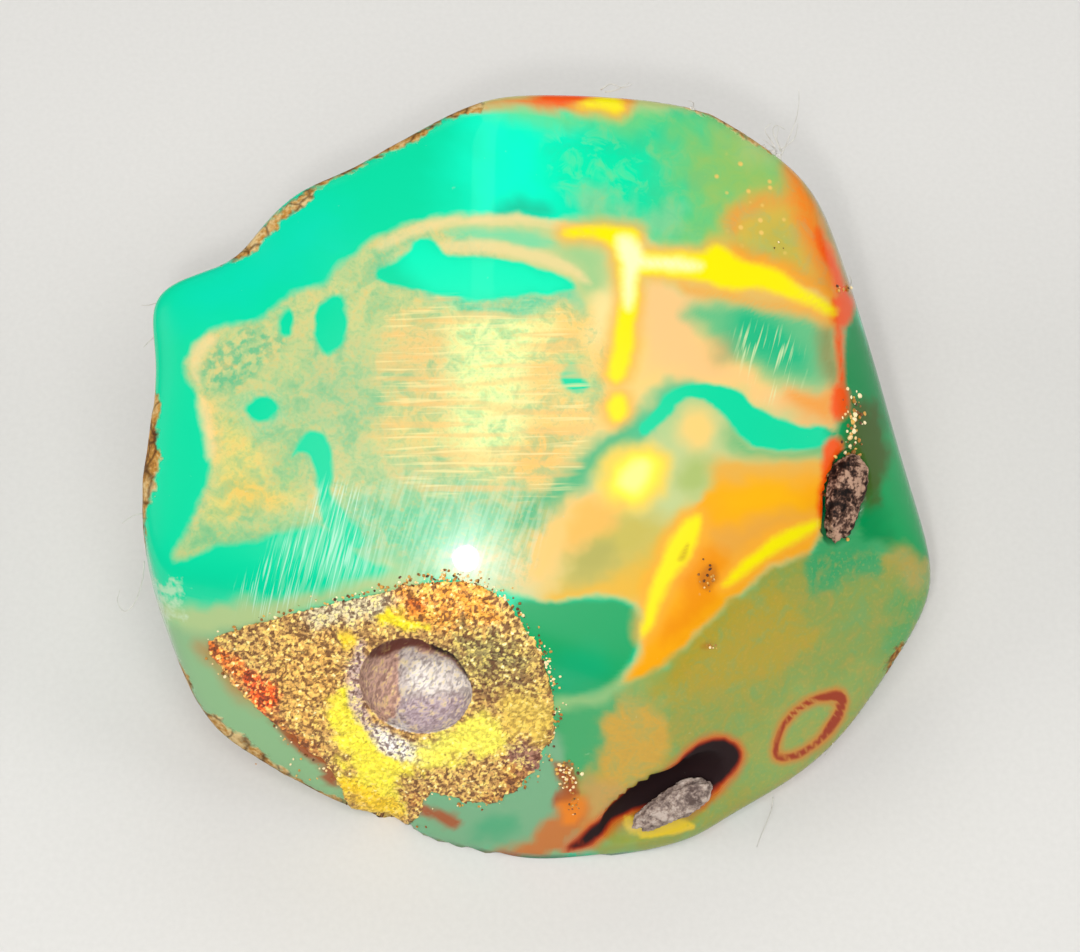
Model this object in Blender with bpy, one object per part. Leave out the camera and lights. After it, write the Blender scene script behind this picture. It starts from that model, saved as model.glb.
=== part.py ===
"""A palm-sized lump of natural amber, ground and polished on shallow faces.

It rests on a flat sawn underside. A patch of grainy crust with a round pit is grown into its
front, and two small chips of bark and stone are held in pockets at its edges.
"""
import math

import bmesh
import bpy
import numpy as np
from mathutils import Matrix, Vector, noise

MM = 0.001

# The lump is drawn from one point inside it, its heart, out to the faces it was ground on.
HEART = Vector((-0.34, -1.66, 14.0)) * MM

# Each ground face: its name, the way it looks (azimuth, elevation in degrees), how far it lies
# from the heart and the radius of its shallow dome (millimetres).
FACES = [
    ("crown", -82, 62, 7.8, 75),
    ("front_left", -97, 30, 11.7, 150),
    ("front_right", -57, 36, 12.7, 150),
    ("right_shoulder", -18, 40, 17.3, 150),
    ("right_back", 12, 12, 22.8, 200),
    ("right_low", -16, 4, 27.0, 100),
    ("back_right", 50, 22, 25.3, 100),
    ("back_bevel", 90, 38, 24.0, 100),
    ("back", 90, 8, 23.0, 80),
    ("back_left", 124, 18, 21.4, 300),
    ("left", 176, 6, 24.4, 200),
    ("left_low", -156, 4, 24.6, 100),
    ("foot_left", -124, 6, 25.4, 200),
    ("foot", -92, 2, 24.8, 100),
    ("foot_right", -45, 4, 27.2, 100),
    ("under_left", -130, -45, 24.0, 100),
    ("under_front", -92, -45, 24.4, 100),
    ("under_right", -45, -45, 25.4, 100),
    ("under_left_side", 180, -42, 23.0, 100),
    ("under_right_side", 0, -42, 24.0, 100),
    ("under_back", 90, -40, 21.0, 100),
]
EDGE_SHARPNESS = 44.0

# Hollows left by the polishing, and swellings where the depth is negative: the way each lies
# from the heart (degrees), its angular width (degrees) and its depth (millimetres).
HOLLOWS = [
    ("bottom_notch", -117, -32, 4.5, 1.0),
    ("bottom_lip", -94, -33, 10, -0.7),
    ("chip_edge", -58, -30, 12, 0.9),
    ("rim_notch", 154, 27, 6, 0.7),
    ("rim_corner", 163, 20, 6, -0.7),
    ("rim_bulge", 139, 33, 7, -0.5),
    ("left_flank", 176, 14, 9, 0.3),
    ("right_bulge", -12, -14, 14, -0.7),
]

AMBER_CELLS = 24        # cells along one side of the cube that the lump is blown up from
CRUST_CELLS = 46
CORE_CELLS = 16

# Outlines are drawn on the show plane: it passes through the heart and looks up to the front.
SHOW_ELEVATION = math.radians(58)
SHOW_PLANE = Matrix.Translation(HEART) @ Matrix.Rotation(math.pi / 2 - SHOW_ELEVATION, 4, "X")

# The crust's edge on the show plane (millimetres), clockwise from its left tip.
CRUST_OUTLINE = [
    (-20.2, -10.3), (-15.0, -8.4), (-9.8, -7.1), (-5.6, -6.3), (-2.6, -7.0), (-0.2, -9.8),
    (1.1, -13.2), (0.9, -16.4), (-0.9, -19.3), (-3.6, -20.8), (-6.6, -20.0), (-8.0, -22.6),
    (-11.4, -22.0), (-13.0, -18.7), (-16.2, -15.7), (-18.8, -13.1),
]
CRUST_DEPTH = 7.8 * MM
CRUST_LUMP_SIZE = 1.5 * MM      # how wide the lumps of its face are
CRUST_LUMP_HEIGHT = 0.22 * MM
CRUST_INNER_END = -1.2 * MM     # how far behind the show plane the crust reaches
PIT_PLACE = (-118.3, -9.1)      # azimuth and elevation from the heart
PIT_AXIS = (-99, 36)
PIT_RADIUS = 3.55 * MM
PIT_DEPTH = 4.2 * MM
PIT_UNDERCUT = 0.7 * MM         # how far below its mouth the pit is widest

# Chips in their pockets. place is the way from the heart and turn the slant of the long side
# (degrees), pocket and chip are half lengths and shift moves the chip along its three sides
# (millimetres): along, across and out of the surface.
CHIPS = {
    "bark_chip": {"place": (-65, -25), "turn": 30, "pocket": (5.2, 2.2, 1.9),
                  "chip": (2.8, 0.95, 0.9), "shift": (-0.2, -0.75, -0.3)},
    "stone_chip": {"place": (-9, 6.6), "turn": 45, "pocket": (3.2, 1.65, 1.6),
                   "chip": (2.7, 1.15, 1.0), "shift": (0.0, 0.0, -0.1)},
}
CHIP_ROUGHNESS = 0.16
GAP = 0.3 * MM                  # clear space between neighbouring pieces

COLOURS = {
    "amber": ((0.32, 0.48, 0.16, 1.0), 0.08),
    "crust": ((0.33, 0.20, 0.05, 1.0), 0.75),
    "bark_chip": ((0.24, 0.20, 0.19, 1.0), 0.85),
    "stone_chip": ((0.09, 0.07, 0.06, 1.0), 0.60),
}


def facing(azimuth, elevation):
    """The unit vector that looks along an azimuth and an elevation in degrees."""
    turn = math.radians(azimuth)
    rise = math.radians(elevation)
    return np.array([math.cos(turn) * math.cos(rise), math.sin(turn) * math.cos(rise), math.sin(rise)])


def lump_radius(ways):
    """How far the lump reaches from its heart along each unit vector, in metres."""
    total = np.zeros(len(ways))
    for _, azimuth, elevation, distance, dome in FACES:
        centre = facing(azimuth, elevation) * (distance - dome)
        along = ways @ centre
        to_dome = along + np.sqrt(along ** 2 + dome ** 2 - centre @ centre)
        total += to_dome ** -EDGE_SHARPNESS
    radius = total ** (-1.0 / EDGE_SHARPNESS)
    for _, azimuth, elevation, width, depth in HOLLOWS:
        aside = 1.0 - ways @ facing(azimuth, elevation)
        radius -= depth * np.exp(-aside / (1.0 - math.cos(math.radians(width))))
    return radius * MM


def surface_point(azimuth, elevation):
    """The point of the lump's surface that lies this way from the heart."""
    way = facing(azimuth, elevation)
    return HEART + Vector(way) * lump_radius(way[None, :])[0]


def surface_seat(azimuth, elevation):
    """A frame on the surface there: X level, Y up the slope, Z out of the lump."""
    step = 1.0
    point = surface_point(azimuth, elevation)
    level = surface_point(azimuth + step, elevation) - surface_point(azimuth - step, elevation)
    slope = surface_point(azimuth, elevation + step) - surface_point(azimuth, elevation - step)
    out = level.cross(slope).normalized()
    side = Vector((0, 0, 1)).cross(out).normalized()
    up = out.cross(side)
    return Matrix.Translation(point) @ Matrix((side, up, out)).transposed().to_4x4()


def add_object(name, mesh, collection):
    thing = bpy.data.objects.new(name, mesh)
    collection.objects.link(thing)
    return thing


def blown_cube(cells):
    """A cube cut into cells and blown up to a unit sphere of nearly even quads."""
    shape = bmesh.new()
    bmesh.ops.create_cube(shape, size=2.0)
    bmesh.ops.subdivide_edges(shape, edges=shape.edges[:], cuts=cells - 1, use_grid_fill=True)
    for vertex in shape.verts:
        even = Vector([math.tan(value * math.pi / 4) for value in vertex.co])
        vertex.co = even.normalized()
    return shape


def fold_outwards(shape):
    """Fold each cell along its outer diagonal, so that the ground edges stay clean."""
    for face in shape.faces[:]:
        a, b, c, d = face.verts
        one_way = ((a.co + c.co) / 2 - HEART).length
        other_way = ((b.co + d.co) / 2 - HEART).length
        ends = (a, c) if one_way > other_way else (b, d)
        bmesh.utils.face_split(face, *ends)


def lump_mesh(name, cells, inset=0.0, roughness=0.0):
    """The lump as a closed mesh, sawn off flat at the ground, or a smaller copy inside it."""
    shape = blown_cube(cells)
    ways = np.array([vertex.co for vertex in shape.verts])
    radii = lump_radius(ways) - inset
    for vertex, radius in zip(shape.verts, radii):
        point = HEART + vertex.co * float(radius)
        lift = roughness * noise.fractal(point / CRUST_LUMP_SIZE, 1.0, 2.0, 3)
        vertex.co = point + (point - HEART).normalized() * lift
    fold_outwards(shape)
    everything = shape.verts[:] + shape.edges[:] + shape.faces[:]
    cut = bmesh.ops.bisect_plane(shape, geom=everything, dist=1e-7, plane_co=(0, 0, 0),
                                 plane_no=(0, 0, -1), clear_outer=True)
    rim = [item for item in cut["geom_cut"] if isinstance(item, bmesh.types.BMEdge)]
    bmesh.ops.contextual_create(shape, geom=rim)
    bmesh.ops.recalc_face_normals(shape, faces=shape.faces[:])
    mesh = bpy.data.meshes.new(name)
    shape.to_mesh(mesh)
    shape.free()
    return mesh


def smooth_loop(points, steps=4):
    """A closed Catmull-Rom curve through the points, as plain pairs in metres."""
    loop = []
    count = len(points)
    for index in range(count):
        before, start, end, after = (Vector(points[(index + k) % count]) for k in (-1, 0, 1, 2))
        for step in range(steps):
            t = step / steps
            bend = (2 * before - 5 * start + 4 * end - after) * t ** 2
            twist = (3 * start - before - 3 * end + after) * t ** 3
            loop.append((start * 2 + (end - before) * t + bend + twist) * 0.5 * MM)
    return loop


def widened(loop, margin):
    """The clockwise loop moved outwards by a margin."""
    moved = []
    for index, point in enumerate(loop):
        along = (loop[(index + 1) % len(loop)] - loop[index - 1]).normalized()
        moved.append(point + Vector((-along.y, along.x)) * margin)
    return moved


def prism_mesh(name, loop, near, far):
    """The loop on the show plane, drawn out along the plane's normal from near to far."""
    curve = bpy.data.curves.new(name, "CURVE")
    curve.dimensions = "2D"
    curve.fill_mode = "BOTH"
    curve.extrude = (far - near) / 2
    spline = curve.splines.new("POLY")
    spline.points.add(len(loop) - 1)
    for knot, point in zip(spline.points, loop):
        knot.co = (point.x, point.y, 0, 1)
    spline.use_cyclic_u = True
    drawn = bpy.data.objects.new(name, curve)
    bpy.context.scene.collection.objects.link(drawn)
    bpy.context.view_layer.update()
    solid = bpy.data.meshes.new_from_object(drawn.evaluated_get(bpy.context.evaluated_depsgraph_get()))
    bpy.data.objects.remove(drawn)
    bpy.data.curves.remove(curve)
    shape = bmesh.new()
    shape.from_mesh(solid)
    bmesh.ops.remove_doubles(shape, verts=shape.verts[:], dist=1e-6)
    bmesh.ops.recalc_face_normals(shape, faces=shape.faces[:])
    shape.transform(SHOW_PLANE @ Matrix.Translation((0, 0, (near + far) / 2)))
    shape.to_mesh(solid)
    shape.free()
    return solid


def boolean(thing, operation, cutter):
    step = thing.modifiers.new(f"{operation.lower()}_{cutter.name}", "BOOLEAN")
    step.operation = operation
    step.object = cutter
    step.solver = "EXACT"


def ellipsoid_mesh(name, halves, placement, roughness=0.0, segments=24, rings=14):
    """A ball stretched to three half lengths, roughened in flats if asked."""
    shape = bmesh.new()
    bmesh.ops.create_uvsphere(shape, u_segments=segments, v_segments=rings, radius=1.0)
    for vertex in shape.verts:
        vertex.co *= 1.0 + roughness * noise.fractal(vertex.co * 1.7, 1.0, 2.0, 3)
    shape.transform(placement @ Matrix.Diagonal((*halves, 1.0)))
    mesh = bpy.data.meshes.new(name)
    shape.to_mesh(mesh)
    shape.free()
    return mesh


def material(name):
    colour, roughness = COLOURS[name]
    finish = bpy.data.materials.new(name)
    finish.use_nodes = True
    shader = finish.node_tree.nodes["Principled BSDF"]
    shader.inputs["Base Color"].default_value = colour
    shader.inputs["Roughness"].default_value = roughness
    finish.diffuse_color = colour
    return finish


def add_cutter(name, mesh, cutters):
    cutter = add_object(name, mesh, cutters)
    cutter.hide_render = True
    cutter.display_type = "WIRE"
    return cutter


def make_amber(parts):
    return add_object("amber", lump_mesh("amber", AMBER_CELLS), parts)


def make_crust(parts, cutters, amber):
    """The crust fills a recess in the amber, with a pit in the middle of its face."""
    edge = smooth_loop(CRUST_OUTLINE)
    outer_end = 20 * MM
    block = add_cutter("crust_block", prism_mesh("crust_block", edge, CRUST_INNER_END, outer_end), cutters)
    core = add_cutter("crust_core", lump_mesh("crust_core", CORE_CELLS, inset=CRUST_DEPTH), cutters)
    rough_lump = lump_mesh("crust", CRUST_CELLS, roughness=CRUST_LUMP_HEIGHT)
    crust = add_object("crust", rough_lump, parts)
    boolean(crust, "INTERSECT", block)
    boolean(crust, "DIFFERENCE", core)

    axis = Vector(facing(*PIT_AXIS))
    mouth = surface_point(*PIT_PLACE)
    place = Matrix.Translation(mouth - axis * PIT_UNDERCUT) @ axis.to_track_quat("Z", "Y").to_matrix().to_4x4()
    bowl = ellipsoid_mesh("pit", (PIT_RADIUS, PIT_RADIUS, PIT_DEPTH - PIT_UNDERCUT), place)
    boolean(crust, "DIFFERENCE", add_cutter("pit", bowl, cutters))

    wider = widened(edge, GAP)
    recess_mesh = prism_mesh("crust_recess", wider, CRUST_INNER_END - GAP, outer_end)
    recess = add_cutter("crust_recess", recess_mesh, cutters)
    floor = lump_mesh("recess_floor", CORE_CELLS, inset=CRUST_DEPTH + GAP)
    boolean(recess, "DIFFERENCE", add_cutter("recess_floor", floor, cutters))
    boolean(amber, "DIFFERENCE", recess)
    return crust


def make_chip(name, parts, cutters, amber):
    """A chip lies in its own pocket with clear space around it."""
    sizes = CHIPS[name]
    seat = surface_seat(*sizes["place"]) @ Matrix.Rotation(math.radians(sizes["turn"]), 4, "Z")
    pocket = ellipsoid_mesh(f"{name}_pocket", Vector(sizes["pocket"]) * MM, seat)
    boolean(amber, "DIFFERENCE", add_cutter(f"{name}_pocket", pocket, cutters))
    chip_seat = seat @ Matrix.Translation(Vector(sizes["shift"]) * MM)
    mesh = ellipsoid_mesh(name, Vector(sizes["chip"]) * MM, chip_seat, CHIP_ROUGHNESS, 12, 8)
    return add_object(name, mesh, parts)


def main():
    for leftover in list(bpy.data.objects):
        bpy.data.objects.remove(leftover)
    parts = bpy.data.collections.new("amber_lump")
    cutters = bpy.data.collections.new("cutters")
    for collection in (parts, cutters):
        bpy.context.scene.collection.children.link(collection)

    amber = make_amber(parts)
    pieces = [amber, make_crust(parts, cutters, amber)]
    pieces += [make_chip(name, parts, cutters, amber) for name in CHIPS]
    for piece in pieces:
        piece.data.materials.append(material(piece.name))
        piece.data.shade_smooth()
        piece.data.set_sharp_from_angle(angle=math.radians(40))


main()
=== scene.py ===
"""A lump of natural amber, polished on shallow faces, seen from above its front."""

import math

import bmesh
import bpy
import numpy as np
from mathutils import Matrix, Vector, noise


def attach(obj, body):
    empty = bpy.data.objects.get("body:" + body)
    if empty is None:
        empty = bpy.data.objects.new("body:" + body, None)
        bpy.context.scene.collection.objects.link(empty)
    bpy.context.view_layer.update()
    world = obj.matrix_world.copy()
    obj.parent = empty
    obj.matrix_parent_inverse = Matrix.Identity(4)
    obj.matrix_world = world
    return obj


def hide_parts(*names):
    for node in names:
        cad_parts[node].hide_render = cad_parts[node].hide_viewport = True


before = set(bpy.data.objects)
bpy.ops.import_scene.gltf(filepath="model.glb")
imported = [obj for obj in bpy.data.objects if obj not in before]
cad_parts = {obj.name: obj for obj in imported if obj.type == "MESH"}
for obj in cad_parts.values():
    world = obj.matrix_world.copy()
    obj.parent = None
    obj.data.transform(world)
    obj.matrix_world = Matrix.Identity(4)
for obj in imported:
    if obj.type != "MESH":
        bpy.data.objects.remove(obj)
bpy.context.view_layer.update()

# ---------------------------------------------------------------------------------------------
# The viewpoint. The lump lies within the hand's reach and is looked at from above its front, so
# the lens is a long one close by. Outlines of what lies in the resin are drawn on a sheet laid
# across this view, in steps that are counted from the sheet's upper left corner.
# ---------------------------------------------------------------------------------------------
MM = 0.001
HEART = np.array([-0.34, -1.66, 14.0]) * MM     # the point the lump's faces are measured from
VIEW_RISE = math.radians(58)
VIEW_DISTANCE = 160 * MM
RIGHT = np.array([1.0, 0.0, 0.0])
UP = np.array([0.0, math.sin(VIEW_RISE), math.cos(VIEW_RISE)])
NEAR = np.array([0.0, -math.cos(VIEW_RISE), math.sin(VIEW_RISE)])
VIEWPOINT = HEART + NEAR * VIEW_DISTANCE

STEPS_PER_MM = 15.8         # at the heart's distance
HEART_STEP = (535, 475)
SHEET_STEPS = (1080, 952)
SENSOR_WIDTH = 36.0         # millimetres, like the focal length
NEAR_LIMIT = 10 * MM        # what lies nearer to the lens than this isn't seen

camera = bpy.data.objects.new("camera", bpy.data.cameras.new("camera"))
bpy.context.scene.collection.objects.link(camera)
bpy.context.scene.camera = camera
camera.location = VIEWPOINT
aside = (SHEET_STEPS[0] / 2 - HEART_STEP[0]) / STEPS_PER_MM * MM
above = (HEART_STEP[1] - SHEET_STEPS[1] / 2) / STEPS_PER_MM * MM
aim = HEART + RIGHT * aside + UP * above
camera.rotation_euler = Vector(aim - VIEWPOINT).to_track_quat("-Z", "Y").to_euler()
camera.data.sensor_width = SENSOR_WIDTH
camera.data.lens = VIEW_DISTANCE / MM * STEPS_PER_MM * SENSOR_WIDTH / SHEET_STEPS[0]
camera.data.clip_start = NEAR_LIMIT


def sheet_spots(points):
    """Where each point falls on the drawing sheet, in steps right and down."""
    apart = (points - HEART) / MM
    swell = STEPS_PER_MM / (1.0 - apart @ NEAR * MM / VIEW_DISTANCE)
    return np.stack([HEART_STEP[0] + apart @ RIGHT * swell, HEART_STEP[1] - apart @ UP * swell], axis=1)


# ---------------------------------------------------------------------------------------------
# The table is a sheet of matt off-white paper, large enough to fill every view. Its fine tooth
# keeps it from looking like a blank, and it throws a little light back under the lump.
# ---------------------------------------------------------------------------------------------
def linear(hex_colour):
    """An sRGB hex colour as linear values with full alpha."""
    parts = [int(hex_colour[start:start + 2], 16) / 255 for start in (0, 2, 4)]
    bright = [((part + 0.055) / 1.055) ** 2.4 if part > 0.04045 else part / 12.92 for part in parts]
    return (*bright, 1.0)


def add(tree, kind, inputs=None, **settings):
    """A node with its settings, its input values and its links from other nodes' sockets."""
    made = tree.nodes.new(f"ShaderNode{kind}")
    for name, value in settings.items():
        setattr(made, name, value)
    for key, value in (inputs or {}).items():
        if isinstance(value, bpy.types.NodeSocket):
            tree.links.new(value, made.inputs[key])
        else:
            made.inputs[key].default_value = value
    return made


def bare_material(name):
    """A new material with an empty node tree."""
    finish = bpy.data.materials.new(name)
    finish.use_nodes = True
    finish.node_tree.nodes.clear()
    return finish


def mesh_from(name, shape):
    """The mesh of a finished bmesh, which is then let go."""
    mesh = bpy.data.meshes.new(name)
    shape.to_mesh(mesh)
    shape.free()
    return mesh


def set_out(name, mesh, finish):
    """A new object in the scene, with its mesh and its one material."""
    piece = bpy.data.objects.new(name, mesh)
    bpy.context.scene.collection.objects.link(piece)
    mesh.materials.append(finish)
    return piece


PAPER_HALF_WIDTH = 1.2      # metres
PAPER_TOOTH = 0.4 * MM

# Uncoated cartridge paper: dry, pale and slightly warm, with no gloss. Its real tooth is too fine
# to show, so it is drawn two or three times as coarse.
cartridge_paper = bare_material("cartridge_paper")
tree = cartridge_paper.node_tree
place = add(tree, "TexCoord").outputs["Object"]
tooth = add(tree, "TexNoise", {"Vector": place, "Scale": 1 / PAPER_TOOTH, "Detail": 3.0}).outputs["Fac"]
tone = add(tree, "Mix", {0: tooth, 6: linear("C6C4C0"), 7: linear("CECCC8")}, data_type="RGBA")
grain = add(tree, "Bump", {"Height": tooth, "Strength": 0.1, "Distance": 0.05 * MM})
shader = add(tree, "BsdfPrincipled", {"Base Color": tone.outputs[2], "Roughness": 0.9,
                                      "Specular IOR Level": 0.2, "Normal": grain.outputs[0]})
add(tree, "OutputMaterial", {"Surface": shader.outputs[0]})

shape = bmesh.new()
bmesh.ops.create_grid(shape, x_segments=2, y_segments=2, size=PAPER_HALF_WIDTH)
paper = set_out("paper", mesh_from("paper", shape), cartridge_paper)

# ---------------------------------------------------------------------------------------------
# The light is a soft studio light: a broad even light from above the viewer, a soft box in front,
# at each side and behind, a long narrow strip overhead and a small lamp beside the lens. The wide
# ones have screens, so that the polish mirrors the strip and the lamp alone.
# ---------------------------------------------------------------------------------------------
# Each lamp: its name, azimuth, elevation and distance from the heart (degrees, mm), its width and
# height (mm), its watts and whether the polish mirrors it.
LAMPS = [
    ("front_box", -90, 62, 330, 260, 200, 0.2, False),
    ("left_box", 186, 30, 300, 160, 160, 0.28, False),
    ("right_box", -4, 34, 300, 160, 160, 0.23, False),
    ("back_box", 90, 42, 320, 220, 120, 0.26, False),
    ("overhead_strip", 90, 80, 300, 14, 220, 0.008, True),
]
BROAD_RISE = 62             # degrees
BROAD_SPREAD = 50           # degrees
BROAD_STRENGTH = 1.74       # watts on each square metre
SMALL_LAMP_WIDTH = 9 * MM
SMALL_LAMP_WATTS = 0.07
SMALL_LAMP_PLACE = VIEWPOINT - RIGHT * 7.5 * MM - UP * 10.5 * MM


def facing(azimuth, elevation):
    """The unit vector that looks along an azimuth and an elevation in degrees."""
    turn = math.radians(azimuth)
    rise = math.radians(elevation)
    return np.array([math.cos(turn) * math.cos(rise), math.sin(turn) * math.cos(rise), math.sin(rise)])


def hang(name, kind, way, strength, mirrored):
    """A new lamp that shines from one way, with a yes or no to its mirroring in the polish."""
    lamp = bpy.data.objects.new(name, bpy.data.lights.new(name, kind))
    bpy.context.scene.collection.objects.link(lamp)
    lamp.rotation_euler = Vector(way).to_track_quat("Z", "Y").to_euler()
    lamp.data.energy = strength
    lamp.visible_glossy = mirrored
    return lamp


for name, azimuth, elevation, distance, width, height, watts, mirrored in LAMPS:
    lamp = hang(name, "AREA", facing(azimuth, elevation), watts, mirrored)
    lamp.location = HEART + facing(azimuth, elevation) * distance * MM
    lamp.data.shape = "RECTANGLE"
    lamp.data.size = width * MM
    lamp.data.size_y = height * MM

broad_light = hang("broad_light", "SUN", facing(-90, BROAD_RISE), BROAD_STRENGTH, False)
broad_light.data.angle = math.radians(BROAD_SPREAD)

small_lamp = hang("small_lamp", "AREA", SMALL_LAMP_PLACE - HEART, SMALL_LAMP_WATTS, True)
small_lamp.location = SMALL_LAMP_PLACE
small_lamp.data.shape = "DISK"
small_lamp.data.size = SMALL_LAMP_WIDTH

ROOM_GLOW = 0.14            # of the pale walls around
world = bpy.data.worlds.new("studio")
bpy.context.scene.world = world
world.use_nodes = True
walls = world.node_tree.nodes["Background"]
walls.inputs["Color"].default_value = linear("E8ECF0")
walls.inputs["Strength"].default_value = ROOM_GLOW
bpy.context.scene.view_settings.view_transform = "Standard"

# ---------------------------------------------------------------------------------------------
# The amber: one lump of fossil resin, ground on shallow faces and polished, with part of its
# natural skin left low on the sides. Clear resin shows green, and clouds of fine bubbles in it
# show milky tan and honey. The green is the glow that the resin gives off under the light,
# painted into its colour. Its flat sawn base rests on the table.
# ---------------------------------------------------------------------------------------------
# Each ground face: azimuth, elevation (degrees), distance from the heart, radius of its dome (mm).
FACES = [
    (-82, 62, 7.8, 75), (-97, 30, 11.7, 150), (-57, 36, 12.7, 150), (-18, 40, 17.3, 150),
    (12, 12, 22.8, 200), (-16, 4, 27.0, 100), (50, 22, 25.3, 100), (90, 38, 24.0, 100),
    (90, 8, 23.0, 80), (124, 18, 21.4, 300), (176, 6, 24.4, 200), (-156, 4, 24.6, 100),
    (-124, 6, 25.4, 200), (-92, 2, 24.8, 100), (-45, 4, 27.2, 100), (-130, -45, 24.0, 100),
    (-92, -45, 24.4, 100), (-45, -45, 25.4, 100), (180, -42, 23.0, 100), (0, -42, 24.0, 100),
    (90, -40, 21.0, 100),
]
EDGE_SHARPNESS = 44.0
# Each hollow or, with a negative depth, swelling: azimuth, elevation, width (degrees), depth (mm).
HOLLOWS = [
    (-117, -32, 4.5, 1.0), (-94, -33, 10, -0.7), (-58, -30, 12, 0.9), (154, 27, 6, 0.7),
    (163, 20, 6, -0.7), (139, 33, 7, -0.5), (176, 14, 9, 0.3), (-12, -14, 14, -0.7),
]
AMBER_CELLS = 124       # along one side of the cube that the lump is blown up from
VIEW_CROWDING = 0.4     # how far the cells are crowded towards the viewer, from 0 to 1
FLATTEST_LEAN = 0.01    # how steeply a way has to fall before it can meet the table
# How much a face leans towards the viewer where the front starts, and where it is all front.
FRONT_STARTS = -0.22
FRONT_FULL = -0.02


def lump_radius(ways):
    """How far the lump reaches from its heart along each unit vector, in metres."""
    total = np.zeros(len(ways))
    for azimuth, elevation, distance, dome in FACES:
        centre = facing(azimuth, elevation) * (distance - dome)
        along = ways @ centre
        to_dome = along + np.sqrt(along ** 2 + dome ** 2 - centre @ centre)
        total += to_dome ** -EDGE_SHARPNESS
    radius = total ** (-1.0 / EDGE_SHARPNESS)
    for azimuth, elevation, width, depth in HOLLOWS:
        apart = 1.0 - ways @ facing(azimuth, elevation)
        radius -= depth * np.exp(-apart / (1.0 - math.cos(math.radians(width))))
    return radius * MM


def crowded(ways, amount):
    """Unit vectors drawn towards the viewer without shearing the cells between them."""
    near = ways @ NEAR
    nearer = (near + amount) / (1.0 + amount * near)
    rest = ways - near[:, None] * NEAR
    spread = np.sqrt((1.0 - nearer ** 2) / np.maximum(1.0 - near ** 2, 1e-12))
    return rest * spread[:, None] + nearer[:, None] * NEAR


def mottle(points, size, seed=0.0, octaves=2):
    """Smooth noise at each point, about -1 to 1, whose blots are about a given size across."""
    shift = Vector((seed, seed * 1.7, seed * 0.3))
    return np.array([noise.fractal(Vector(point) / size + shift, 1.0, 2.0, octaves)
                     for point in points])


def on_curve(before, start, end, after, t):
    """A point of the Catmull-Rom curve between start and end, t of the way along."""
    bend = (2 * before - 5 * start + 4 * end - after) * t ** 2
    twist = (3 * start - before - 3 * end + after) * t ** 3
    return (start * 2 + (end - before) * t + bend + twist) / 2


def smooth_loop(outline, turns=3):
    """A closed curve through the outline's points, with a few steps between each two."""
    points = np.array(outline, dtype=float)
    before, after, later = np.roll(points, 1, 0), np.roll(points, -1, 0), np.roll(points, -2, 0)
    rows = [on_curve(before, points, after, later, turn / turns) for turn in range(turns)]
    return np.stack(rows, axis=1).reshape(-1, 2)


FAR = 4.0       # mm, past which a distance from an outline isn't followed


def inside_distance(spots, outline):
    """How far each spot of the sheet lies inside an outline, in mm, negative outside."""
    loop = smooth_loop(outline)
    reach = FAR * STEPS_PER_MM
    close = np.all((spots > loop.min(0) - reach) & (spots < loop.max(0) + reach), axis=1)
    here = spots[close]
    nearest = np.full(len(here), reach)
    within = np.zeros(len(here), dtype=bool)
    for start, end in zip(loop, np.roll(loop, -1, 0)):
        side = end - start
        apart = here - start
        share = np.clip(apart @ side / max(side @ side, 1e-9), 0, 1)
        nearest = np.minimum(nearest, np.hypot(*(apart - share[:, None] * side).T))
        if start[1] != end[1]:
            crossing = start[0] + (here[:, 1] - start[1]) / side[1] * side[0]
            within ^= ((start[1] > here[:, 1]) != (end[1] > here[:, 1])) & (here[:, 0] < crossing)
    distance = np.full(len(spots), -FAR)
    distance[close] = np.where(within, nearest, -nearest) / STEPS_PER_MM
    return distance


def ramp(value, start, end):
    """A smooth rise from 0 at start to 1 at end."""
    share = np.clip((value - start) / (end - start), 0, 1)
    return share * share * (3 - 2 * share)


def laid_over(colours, colour, share):
    """Colours with a share of one hex colour laid over each of them."""
    return colours * (1 - share[:, None]) + np.array(linear(colour)) * share[:, None]


def keep_on(mesh, name, values):
    """Keep one number or one colour for each of a mesh's vertices, under a name."""
    kind, slot = ("FLOAT", "value") if values.ndim == 1 else ("FLOAT_COLOR", "color")
    layer = mesh.attributes.new(name, kind, "POINT")
    layer.data.foreach_set(slot, values.astype(np.float32).ravel())


# A cube in fine cells is blown up to the lump, with more of its cells on the viewer's side.
shape = bmesh.new()
bmesh.ops.create_cube(shape, size=2.0)
bmesh.ops.subdivide_edges(shape, edges=shape.edges[:], cuts=AMBER_CELLS - 1, use_grid_fill=True)
corners = np.array([vertex.co for vertex in shape.verts])
blown = np.tan(corners * math.pi / 4)
ways = crowded(blown / np.linalg.norm(blown, axis=1)[:, None], VIEW_CROWDING)
fall = np.maximum(-ways[:, 2], FLATTEST_LEAN)
to_ground = np.where(-ways[:, 2] > FLATTEST_LEAN, HEART[2] / fall, np.inf)
reach = np.minimum(lump_radius(ways), to_ground)
skin = HEART + ways * reach[:, None]
for vertex, point in zip(shape.verts, skin):
    vertex.co = point
shape.normal_update()
normals = np.array([vertex.normal for vertex in shape.verts])
to_viewer = VIEWPOINT - skin
to_viewer /= np.linalg.norm(to_viewer, axis=1)[:, None]
lean = np.einsum("ij,ij->i", normals, to_viewer)
front = ramp(lean, FRONT_STARTS, FRONT_FULL)
spots = sheet_spots(skin)

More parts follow.
